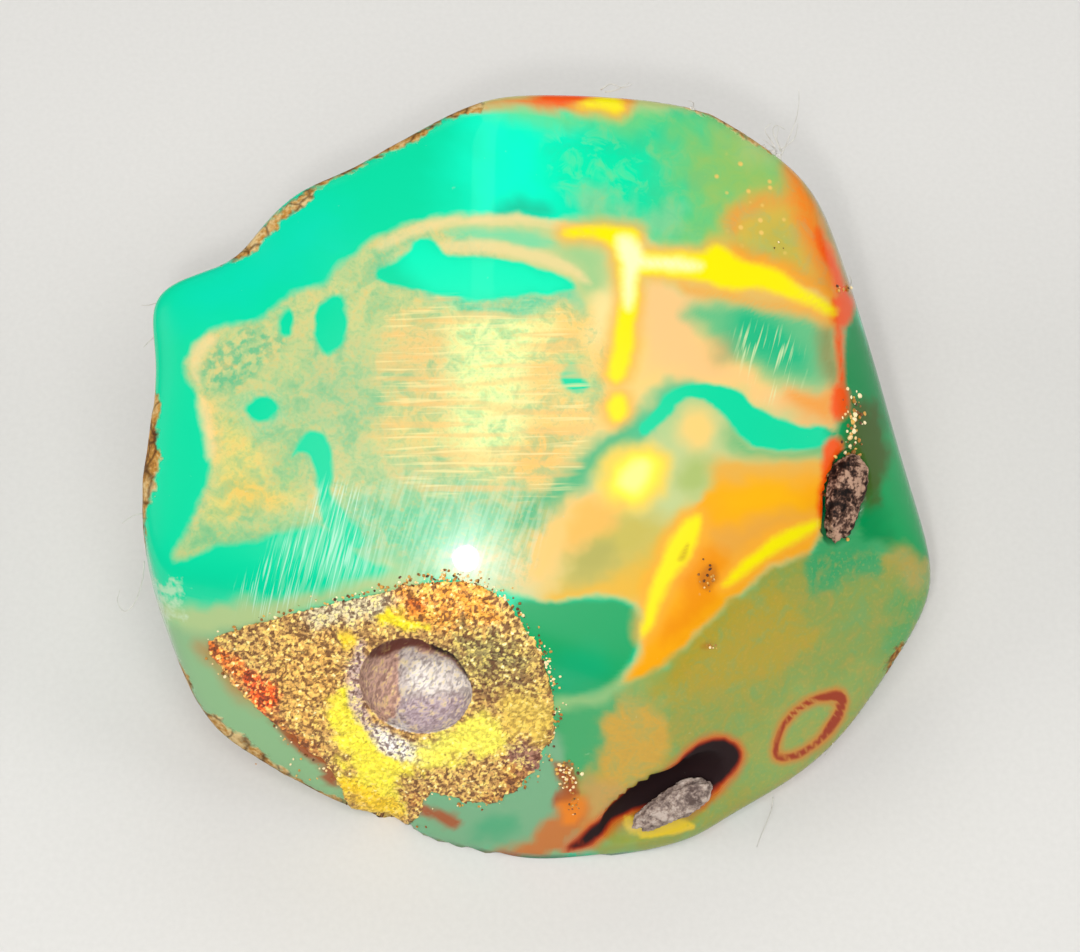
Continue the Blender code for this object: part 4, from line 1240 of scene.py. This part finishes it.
# The crust's front as one sheet of square faces.
rows = number.reshape(len(rises), len(levels))
quads = np.stack([rows[:-1, :-1], rows[:-1, 1:], rows[1:, 1:], rows[1:, :-1]], axis=-1)[whole]
mesh = bpy.data.meshes.new("grainy_crust")
mesh.from_pydata(face.tolist(), [], quads.tolist())
mesh.update()
normals = np.empty(len(face) * 3)
mesh.vertex_normals.foreach_get("vector", normals)
normals = normals.reshape(-1, 3)

# Grains stand out of broader lumps. Each keeps a chance number from 0 to 1 that its height and
# its colour are picked by, out of a wave so steep that neighbours have nothing in common.
STEEP_WAVE = np.array([12.9, 78.2, 37.7])
WAVE_STEEPNESS = 43758.5
found = [noise.voronoi(Vector(point) / GRAIN_WIDTH) for point in face]
nearest = np.array([distances[0] for distances, _ in found])
second = np.array([distances[1] for distances, _ in found])
centres = np.array([places[0] for _, places in found])
grain_chance = np.abs(np.sin(centres @ STEEP_WAVE) * WAVE_STEEPNESS) % 1.0
calm = np.where(in_pit, PIT_CALM, 1.0)
height = GRAIN_HEIGHT * (GRAIN_FOOT - nearest) * (GRAIN_LEAST + grain_chance) * calm
height += LUMP_HEIGHT * mottle(face, LUMP_WIDTH, seed=2, octaves=3) * calm
height *= ramp(inside, -CRUST_MARGIN, 0.0)
face += normals * height[:, None]
# Nothing reaches below the table.
face[:, 2] = np.maximum(face[:, 2], 0.0)

colours = np.tile(linear(CRUST_GROUND), (len(face), 1))
crust_drift = wander(face_mm, CRUST_DRIFT_BROAD, CRUST_DRIFT_FINE, CRUST_DRIFT_FINE_SHARE)
solid = np.zeros(len(face))
for zones, where in ((CRUST_ZONES, ~in_pit), (PIT_ZONES, in_pit)):
    for name, colour, soft, wobble, strength, outline in zones:
        distance = inside_distance(crust_spots + crust_drift * wobble * STEPS_PER_MM, outline)
        share = ramp(distance, -soft, soft) * strength * where
        colours = laid_over(colours, colour, share)
        smeared = any(word in name for word in SMEARED)
        solid = np.maximum(solid * (1 - share), share * smeared)

mesh.vertices.foreach_set("co", face.astype(np.float32).ravel())
for name, values in (("tint", colours), ("grain", grain_chance), ("seam", second - nearest),
                     ("solid", solid), ("dusty", in_pit.astype(float))):
    keep_on(mesh, name, values)

# Its hidden back: the rim drawn inwards, and from there to a point below the pit.
shape = bmesh.new()
shape.from_mesh(mesh)
rim = [item for item in shape.edges if item.is_boundary]
drawn = bmesh.ops.extrude_edge_only(shape, edges=rim)["geom"]
for vertex in (item for item in drawn if isinstance(item, bmesh.types.BMVert)):
    vertex.co -= (vertex.co - Vector(HEART)).normalized() * CRUST_BACK * MM
foot = shape.verts.new(mouth - axis * (PIT_DEPTH + CRUST_FLOOR) * MM)
for item in [item for item in drawn if isinstance(item, bmesh.types.BMEdge)]:
    shape.faces.new((*item.verts, foot))
bmesh.ops.recalc_face_normals(shape, faces=shape.faces[:])
shape.to_mesh(mesh)
shape.free()
mesh.shade_smooth()

# Sand and pyrite set in resin: every grain a little lighter or darker than the next, with dark
# resin between them, and bright resin where a yellow smear covers them.
CRUST_GRIT = 0.16 * MM
grainy_crust = bare_material("grainy_crust")
tree = grainy_crust.node_tree
place = add(tree, "TexCoord").outputs["Object"]
tint = add(tree, "Attribute", attribute_name="tint").outputs["Color"]
grain = add(tree, "Attribute", attribute_name="grain").outputs["Fac"]
seam = add(tree, "Attribute", attribute_name="seam").outputs["Fac"]
solid = add(tree, "Attribute", attribute_name="solid").outputs["Fac"]
dusty = add(tree, "Attribute", attribute_name="dusty").outputs["Fac"]
fine = add(tree, "TexNoise", {"Vector": place, "Scale": 1 / CRUST_GRIT, "Detail": 2.0}).outputs["Fac"]
mixed = add(tree, "Math", {0: fine, 1: 0.7, 2: grain}, operation="MULTIPLY_ADD").outputs[0]
loose_share = add(tree, "MapRange", {"Value": solid, "To Min": 1.0, "To Max": 0.36}).outputs[0]
quiet = add(tree, "MapRange", {"Value": dusty, "To Min": 1.0, "To Max": 0.55}).outputs[0]
contrast = add(tree, "Math", {0: loose_share, 1: quiet}, operation="MULTIPLY").outputs[0]
paint = tint
# Each: the grain's number where this tone starts and is full, its strength and its colour.
GRAIN_TONES = [
    (0.92, 0.5, 0.85, "5A3020"),
    (0.95, 1.3, 0.75, "FFE674"),
    (1.28, 1.5, 0.9, "FFFCE8"),
]
for start, full, strength, colour in GRAIN_TONES:
    cover = add(tree, "MapRange", {"Value": mixed, "From Min": start, "From Max": full,
                                   "To Max": strength}).outputs[0]
    cover = add(tree, "Math", {0: cover, 1: contrast}, operation="MULTIPLY").outputs[0]
    paint = add(tree, "Mix", {0: cover, 6: paint, 7: linear(colour)}, data_type="RGBA").outputs[2]
gap = add(tree, "MapRange", {"Value": seam, "From Min": 0.14, "From Max": 0.03,
                             "To Max": 0.7}).outputs[0]
gap = add(tree, "Math", {0: gap, 1: contrast}, operation="MULTIPLY").outputs[0]
paint = add(tree, "Mix", {0: gap, 6: paint, 7: linear("2E1A10")}, data_type="RGBA").outputs[2]
rough = add(tree, "MapRange", {"Value": grain, "To Min": 0.65, "To Max": 0.3}).outputs[0]
pitted = add(tree, "Bump", {"Height": fine, "Strength": 0.5, "Distance": 0.04 * MM}).outputs[0]
shader = add(tree, "BsdfPrincipled", {"Base Color": paint, "Roughness": rough,
                                      "Specular IOR Level": 0.5, "Normal": pitted})
add(tree, "OutputMaterial", {"Surface": shader.outputs[0]})
crust = set_out("grainy_crust", mesh, grainy_crust)
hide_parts("crust")
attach(crust, "root")

# ---------------------------------------------------------------------------------------------
# The chips: a grey crumb of bark in the long open pocket at the foot, and a dark stone with pale
# grains on it in the pocket on the right ridge. Resin closed round both while it was soft.
# ---------------------------------------------------------------------------------------------
CHIP_SEGMENTS = (120, 80)
CHIP_FLATS = 0.16       # the depth of its broad flats, for its half size
CHIP_FLAT_TURN = 1.7    # how fast one flat gives way to the next
CHIP_BLUNTNESS = 0.75   # the power that squares off the end where it broke
CHIP_CRUMB_WIDTH = 0.45 * MM
CHIP_CRUMB_HEIGHT = 0.12 * MM
CHIP_CRUMB_FOOT = 0.4   # how high a crumb's middle stands, in those heights
CHIP_CRUMB_FALL = 0.7   # how much it falls away from there, and how much finer bumps add
CHIP_BUMP_WIDTH = 0.3 * MM
CHIP_GRIT = 0.14 * MM
CHIP_BLOT = 1.2 * MM
# The tones of each from its hollows to its highest grains, and the heights they lie at.
TONE_HEIGHTS = (0.3, 0.5, 0.68, 0.9)
CHIP_TONES = {
    "bark_chip": ("5A4A44", "7C6C64", "968478", "B4A498"),
    "stone_chip": ("100A08", "2A1B15", "5A4034", "A88670"),
}
CHIP_PIECES = {"bark_chip": "bark_crumb", "stone_chip": "dark_stone"}
CHIP_MATERIALS = {"bark_chip": "fossil_bark", "stone_chip": "iron_stone"}

for name, sizes in CHIPS.items():
    shape = bmesh.new()
    around, along = CHIP_SEGMENTS
    bmesh.ops.create_uvsphere(shape, u_segments=around, v_segments=along, radius=1.0)
    for vertex in shape.verts:
        blunt = CHIP_BLUNTNESS if vertex.co.x > 0 else 1.0
        vertex.co *= 1.0 + CHIP_FLATS * noise.fractal(vertex.co * CHIP_FLAT_TURN, 1.0, 2.0, 3)
        vertex.co = Vector([math.copysign(abs(value) ** blunt, value) for value in vertex.co])
    shape.transform(chip_seat(name) @ Matrix.Translation(Vector(sizes["shift"]) * MM)
                    @ Matrix.Diagonal((*(Vector(sizes["chip"]) * MM), 1.0)))
    shape.normal_update()
    heights = []
    for vertex in shape.verts:
        distances, _ = noise.voronoi(vertex.co / CHIP_CRUMB_WIDTH)
        bump = noise.fractal(vertex.co / CHIP_BUMP_WIDTH, 1.0, 2.0, 3)
        heights.append(CHIP_CRUMB_FOOT + CHIP_CRUMB_FALL * (bump - distances[0]))
    ways_out = [vertex.normal.copy() for vertex in shape.verts]
    for vertex, height, way_out in zip(shape.verts, heights, ways_out):
        vertex.co += way_out * height * CHIP_CRUMB_HEIGHT
    mesh = mesh_from(CHIP_PIECES[name], shape)
    keep_on(mesh, "crumb_height", np.array(heights))
    mesh.shade_smooth()

    # Dry and crumbly: dark in its hollows and pale on its grains, with no shine.
    chip_finish = bare_material(CHIP_MATERIALS[name])
    tree = chip_finish.node_tree
    place = add(tree, "TexCoord").outputs["Object"]
    crumb = add(tree, "Attribute", attribute_name="crumb_height").outputs["Fac"]
    fine = add(tree, "TexNoise", {"Vector": place, "Scale": 1 / CHIP_GRIT,
                                  "Detail": 4.0}).outputs["Fac"]
    broad = add(tree, "TexNoise", {"Vector": place, "Scale": 1 / CHIP_BLOT,
                                   "Detail": 2.0}).outputs["Fac"]
    mixed = add(tree, "Math", {0: crumb, 1: 0.5, 2: fine}, operation="MULTIPLY_ADD").outputs[0]
    mixed = add(tree, "Math", {0: broad, 1: 1.4, 2: mixed}, operation="MULTIPLY_ADD").outputs[0]
    mixed = add(tree, "Math", {0: mixed, 1: 0.6}, operation="SUBTRACT").outputs[0]
    tones = add(tree, "ValToRGB", {0: mixed})
    set_tones(tones, zip(TONE_HEIGHTS, CHIP_TONES[name]))
    gritty = add(tree, "Bump", {"Height": fine, "Strength": 0.6, "Distance": 0.05 * MM}).outputs[0]
    rough = add(tree, "MapRange", {"Value": fine, "To Min": 0.55, "To Max": 0.95}).outputs[0]
    shader = add(tree, "BsdfPrincipled", {"Base Color": tones.outputs[0], "Roughness": rough,
                                          "Specular IOR Level": 0.35, "Normal": gritty})
    add(tree, "OutputMaterial", {"Surface": shader.outputs[0]})
    chip = set_out(CHIP_PIECES[name], mesh, chip_finish)
    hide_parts(name)
    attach(chip, "root")

# ---------------------------------------------------------------------------------------------
# Loose grains: gold and brown sand that sticks to the face beside the crust, in small nests and in
# a trail above the stone. Each is an uneven ball, more than half sunk in the face; all are one mesh.
# ---------------------------------------------------------------------------------------------
GRAIN_SEED = 7
# Each nest: how many grains, the middle of it on the sheet, its half width and half height
# (steps), and the least and the most that a grain's radius is (mm).
GRAIN_NESTS = [
    (70, (856, 425), (13, 42), (0.07, 0.2)),
    (26, (846, 500), (12, 40), (0.06, 0.16)),
    (70, (566, 776), (12, 15), (0.05, 0.13)),
    (24, (574, 806), (12, 12), (0.04, 0.1)),
    (16, (708, 578), (11, 16), (0.05, 0.12)),
    (9, (710, 646), (7, 5), (0.05, 0.12)),
    (5, (786, 240), (14, 16), (0.04, 0.09)),
    (40, (296, 742), (36, 36), (0.04, 0.11)),
    (14, (846, 289), (8, 6), (0.06, 0.16)),
]
RIM_GRAINS = 360        # along the crust's edge, fewer and fewer away from it
RIM_THINNING = 0.22     # mm
RIM_SIZES = (0.04, 0.12)
RIM_SCATTER = 1.5       # steps
GRAIN_SUNK = 0.3        # how far its middle lies under the face, in its radii
GRAIN_SQUEEZE = (0.7, 1.2)
GRAIN_UNEVEN = 0.3      # of its radius
NEST_SCATTER = 0.5      # of the nest's half size
FRONT_LEAN = 0.02       # grains lie where the face leans more than this to the viewer
RIM_FRONT_LEAN = 0.1
NEVER = 1e6             # added to the distance of a point that mustn't be picked
chance = np.random.default_rng(GRAIN_SEED)
off_front = np.where((lean > FRONT_LEAN) & (crust_inside < 0), 0.0, NEVER)
grains = []
for count, middle, half, (least, most) in GRAIN_NESTS:
    for _ in range(count):
        spot = np.array(middle) + chance.normal(0, NEST_SCATTER, 2) * np.array(half)
        grains.append((spot, chance.uniform(least, most)))
by_crust = (crust_inside > -4 * RIM_THINNING) & (crust_inside < 0)
beside = np.nonzero(by_crust & (lean > RIM_FRONT_LEAN))[0]
odds = np.exp(crust_inside[beside] / RIM_THINNING)
for pick in chance.choice(beside, RIM_GRAINS, p=odds / odds.sum()):
    grains.append((spots[pick] + chance.normal(0, RIM_SCATTER, 2), chance.uniform(*RIM_SIZES)))

shape = bmesh.new()
tone_layer = shape.verts.layers.float.new("grain_tone")
for spot, radius in grains:
    nearest = int(np.argmin(np.hypot(*(spots - spot).T) + off_front))
    beyond = (spot - spots[nearest]) / STEPS_PER_MM * MM
    radius *= MM
    seated = sunk[nearest] - ways[nearest] * radius * GRAIN_SUNK
    centre = Vector(seated + RIGHT * beyond[0] - UP * beyond[1])
    turn = Matrix.Rotation(chance.uniform(0, math.tau), 4, Vector(chance.normal(0, 1, 3)).normalized())
    squeeze = Matrix.Diagonal((*chance.uniform(*GRAIN_SQUEEZE, 3), 1.0))
    ball = bmesh.ops.create_icosphere(shape, subdivisions=2, radius=radius,
                                      matrix=Matrix.Translation(centre) @ turn @ squeeze)
    tone = chance.uniform(0, 1)
    for vertex in ball["verts"]:
        away = vertex.co - centre
        dent = noise.noise(away / radius * 1.5 + centre / MM)
        vertex.co = centre + away * (1 + GRAIN_UNEVEN * dent)
        vertex[tone_layer] = tone
mesh = mesh_from("loose_grains", shape)
mesh.shade_smooth()

# River sand stained with iron: each grain its own tone of gold, cream or brown, lightly glossy.
SAND_GRIT = 0.1 * MM
stained_sand = bare_material("stained_sand")
tree = stained_sand.node_tree
place = add(tree, "TexCoord").outputs["Object"]
tone = add(tree, "Attribute", attribute_name="grain_tone").outputs["Fac"]
fine = add(tree, "TexNoise", {"Vector": place, "Scale": 1 / SAND_GRIT, "Detail": 3.0}).outputs["Fac"]
mixed = add(tree, "Math", {0: fine, 1: 0.35, 2: tone}, operation="MULTIPLY_ADD").outputs[0]
tones = add(tree, "ValToRGB", {0: mixed})
set_tones(tones, [(0.2, "4A2C1C"), (0.5, "A8702C"), (0.8, "D8A850"), (1.0, "F4E0B0")])
gritty = add(tree, "Bump", {"Height": fine, "Strength": 0.4, "Distance": 0.02 * MM}).outputs[0]
rough = add(tree, "MapRange", {"Value": fine, "To Min": 0.3, "To Max": 0.6}).outputs[0]
shader = add(tree, "BsdfPrincipled", {"Base Color": tones.outputs[0], "Roughness": rough,
                                      "Normal": gritty})
add(tree, "OutputMaterial", {"Surface": shader.outputs[0]})
loose_grains = set_out("loose_grains", mesh, stained_sand)
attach(loose_grains, "root")

# ---------------------------------------------------------------------------------------------
# Lint: hairs and crumbs of white dust that the polished rim has picked up. Each hair is a fine
# bent tube with its root on the lump, and all of them are one mesh.
# ---------------------------------------------------------------------------------------------
HAIR_RADIUS = 0.045 * MM    # twice a real fibre's, so that it shows
HAIR_SIDES = 5
HAIR_STEPS = 4          # between two of a hair's points
HAIR_CURL = 0.1 * MM
HAIR_TAPER = 0.6        # how much of its thickness it loses towards its tip
# Each hair: its points on the sheet (steps), from its root on the lump outwards.
HAIRS = [
    [(782, 156), (786, 148), (791, 136), (797, 121), (800, 104), (800, 90)],
    [(780, 150), (788, 146), (796, 138), (799, 124)],
    [(776, 148), (770, 138), (766, 130), (772, 124)],
    [(778, 152), (772, 146), (764, 140)],
    [(784, 154), (778, 140), (780, 128)],
    [(782, 152), (774, 132), (778, 126), (786, 130)],
    [(602, 90), (612, 84), (624, 88), (634, 84)],
    [(606, 92), (618, 90), (630, 83)],
    [(692, 112), (695, 104), (690, 101)],
    [(160, 300), (150, 304), (142, 304)],
    [(158, 332), (150, 340), (144, 346)],
    [(146, 512), (134, 514), (122, 522)],
    [(144, 560), (142, 580), (134, 602), (124, 610), (117, 600), (120, 588)],
    [(772, 798), (770, 812), (762, 832), (755, 852)],
    [(830, 738), (832, 746), (824, 756)],
    [(844, 290), (852, 284), (850, 276)],
]
CRUMB_UNEVEN = 0.7      # of its radius
RIM_LEAN = 0.35         # faces that lean less than this either way are the rim
# Each crumb: its place on the sheet (steps) and its radius (mm).
CRUMBS = [(692, 108, 0.16), (776, 146, 0.2), (782, 153, 0.24), (770, 140, 0.13), (843, 288, 0.2),
          (848, 294, 0.14), (838, 392, 0.12), (196, 340, 0.1)]


def sheet_point(spot, depth):
    """The point seen at a spot of the sheet, at a depth towards the viewer in metres."""
    swell = (VIEW_DISTANCE - depth) / VIEW_DISTANCE / STEPS_PER_MM * MM
    across = (spot[0] - HEART_STEP[0]) * swell
    up = (HEART_STEP[1] - spot[1]) * swell
    return HEART + RIGHT * across + UP * up + NEAR * depth


shape = bmesh.new()
off_rim = np.where(np.abs(lean) < RIM_LEAN, 0.0, NEVER)
for number, hair in enumerate(HAIRS):
    root = int(np.argmin(np.hypot(*(spots - np.array(hair[0])).T) + off_rim))
    depth = float((skin[root] - HEART) @ NEAR)
    line = []
    padded = [hair[0]] + hair + [hair[-1]]
    for index in range(1, len(padded) - 2):
        stretch = [np.array(spot, dtype=float) for spot in padded[index - 1:index + 3]]
        for step in range(HAIR_STEPS):
            spot = on_curve(*stretch, step / HAIR_STEPS)
            curl = HAIR_CURL * math.sin(len(line) + number)
            line.append(Vector(sheet_point(spot, depth + curl)))
    line.append(Vector(sheet_point(hair[-1], depth)))
    for point in line:
        point.z = max(point.z, HAIR_RADIUS)
    rings = []
    for index, point in enumerate(line):
        along = (line[min(index + 1, len(line) - 1)] - line[max(index - 1, 0)]).normalized()
        side = along.cross(Vector(NEAR)).normalized()
        radius = HAIR_RADIUS * (1.0 - HAIR_TAPER * index / len(line))
        turns = [Matrix.Rotation(math.tau * k / HAIR_SIDES, 3, along) for k in range(HAIR_SIDES)]
        rings.append([shape.verts.new(point + turn @ side * radius) for turn in turns])
    for lower, upper in zip(rings, rings[1:]):
        for k in range(HAIR_SIDES):
            around = (k + 1) % HAIR_SIDES
            shape.faces.new((lower[k], lower[around], upper[around], upper[k]))
    shape.faces.new(rings[0][::-1])
    shape.faces.new(rings[-1])
for across, down, radius in CRUMBS:
    root = int(np.argmin(np.hypot(*(spots - np.array([across, down])).T) + off_rim))
    middle = Vector(skin[root])
    ball = bmesh.ops.create_icosphere(shape, subdivisions=3, radius=radius * MM,
                                      matrix=Matrix.Translation(middle))
    for vertex in ball["verts"]:
        away = vertex.co - middle
        rough_place = away / (radius * MM) * 1.6 + middle / MM
        vertex.co = middle + away * (1 + CRUMB_UNEVEN * noise.fractal(rough_place, 1.0, 2.0, 3))
bmesh.ops.recalc_face_normals(shape, faces=shape.faces[:])
mesh = mesh_from("lint", shape)
mesh.shade_smooth()

# Cotton lint: dry white fibre, a little grey where dust has caught in it.
DUST_BLOT = 0.5 * MM
cotton_lint = bare_material("cotton_lint")
tree = cotton_lint.node_tree
place = add(tree, "TexCoord").outputs["Object"]
dust = add(tree, "TexNoise", {"Vector": place, "Scale": 1 / DUST_BLOT, "Detail": 2.0}).outputs["Fac"]
tone = add(tree, "Mix", {0: dust, 6: linear("9C9890"), 7: linear("E4E0D8")},
           data_type="RGBA").outputs[2]
rough = add(tree, "MapRange", {"Value": dust, "To Min": 0.7, "To Max": 0.95}).outputs[0]
shader = add(tree, "BsdfPrincipled", {"Base Color": tone, "Roughness": rough})
add(tree, "OutputMaterial", {"Surface": shader.outputs[0]})
lint = set_out("lint", mesh, cotton_lint)
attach(lint, "root")
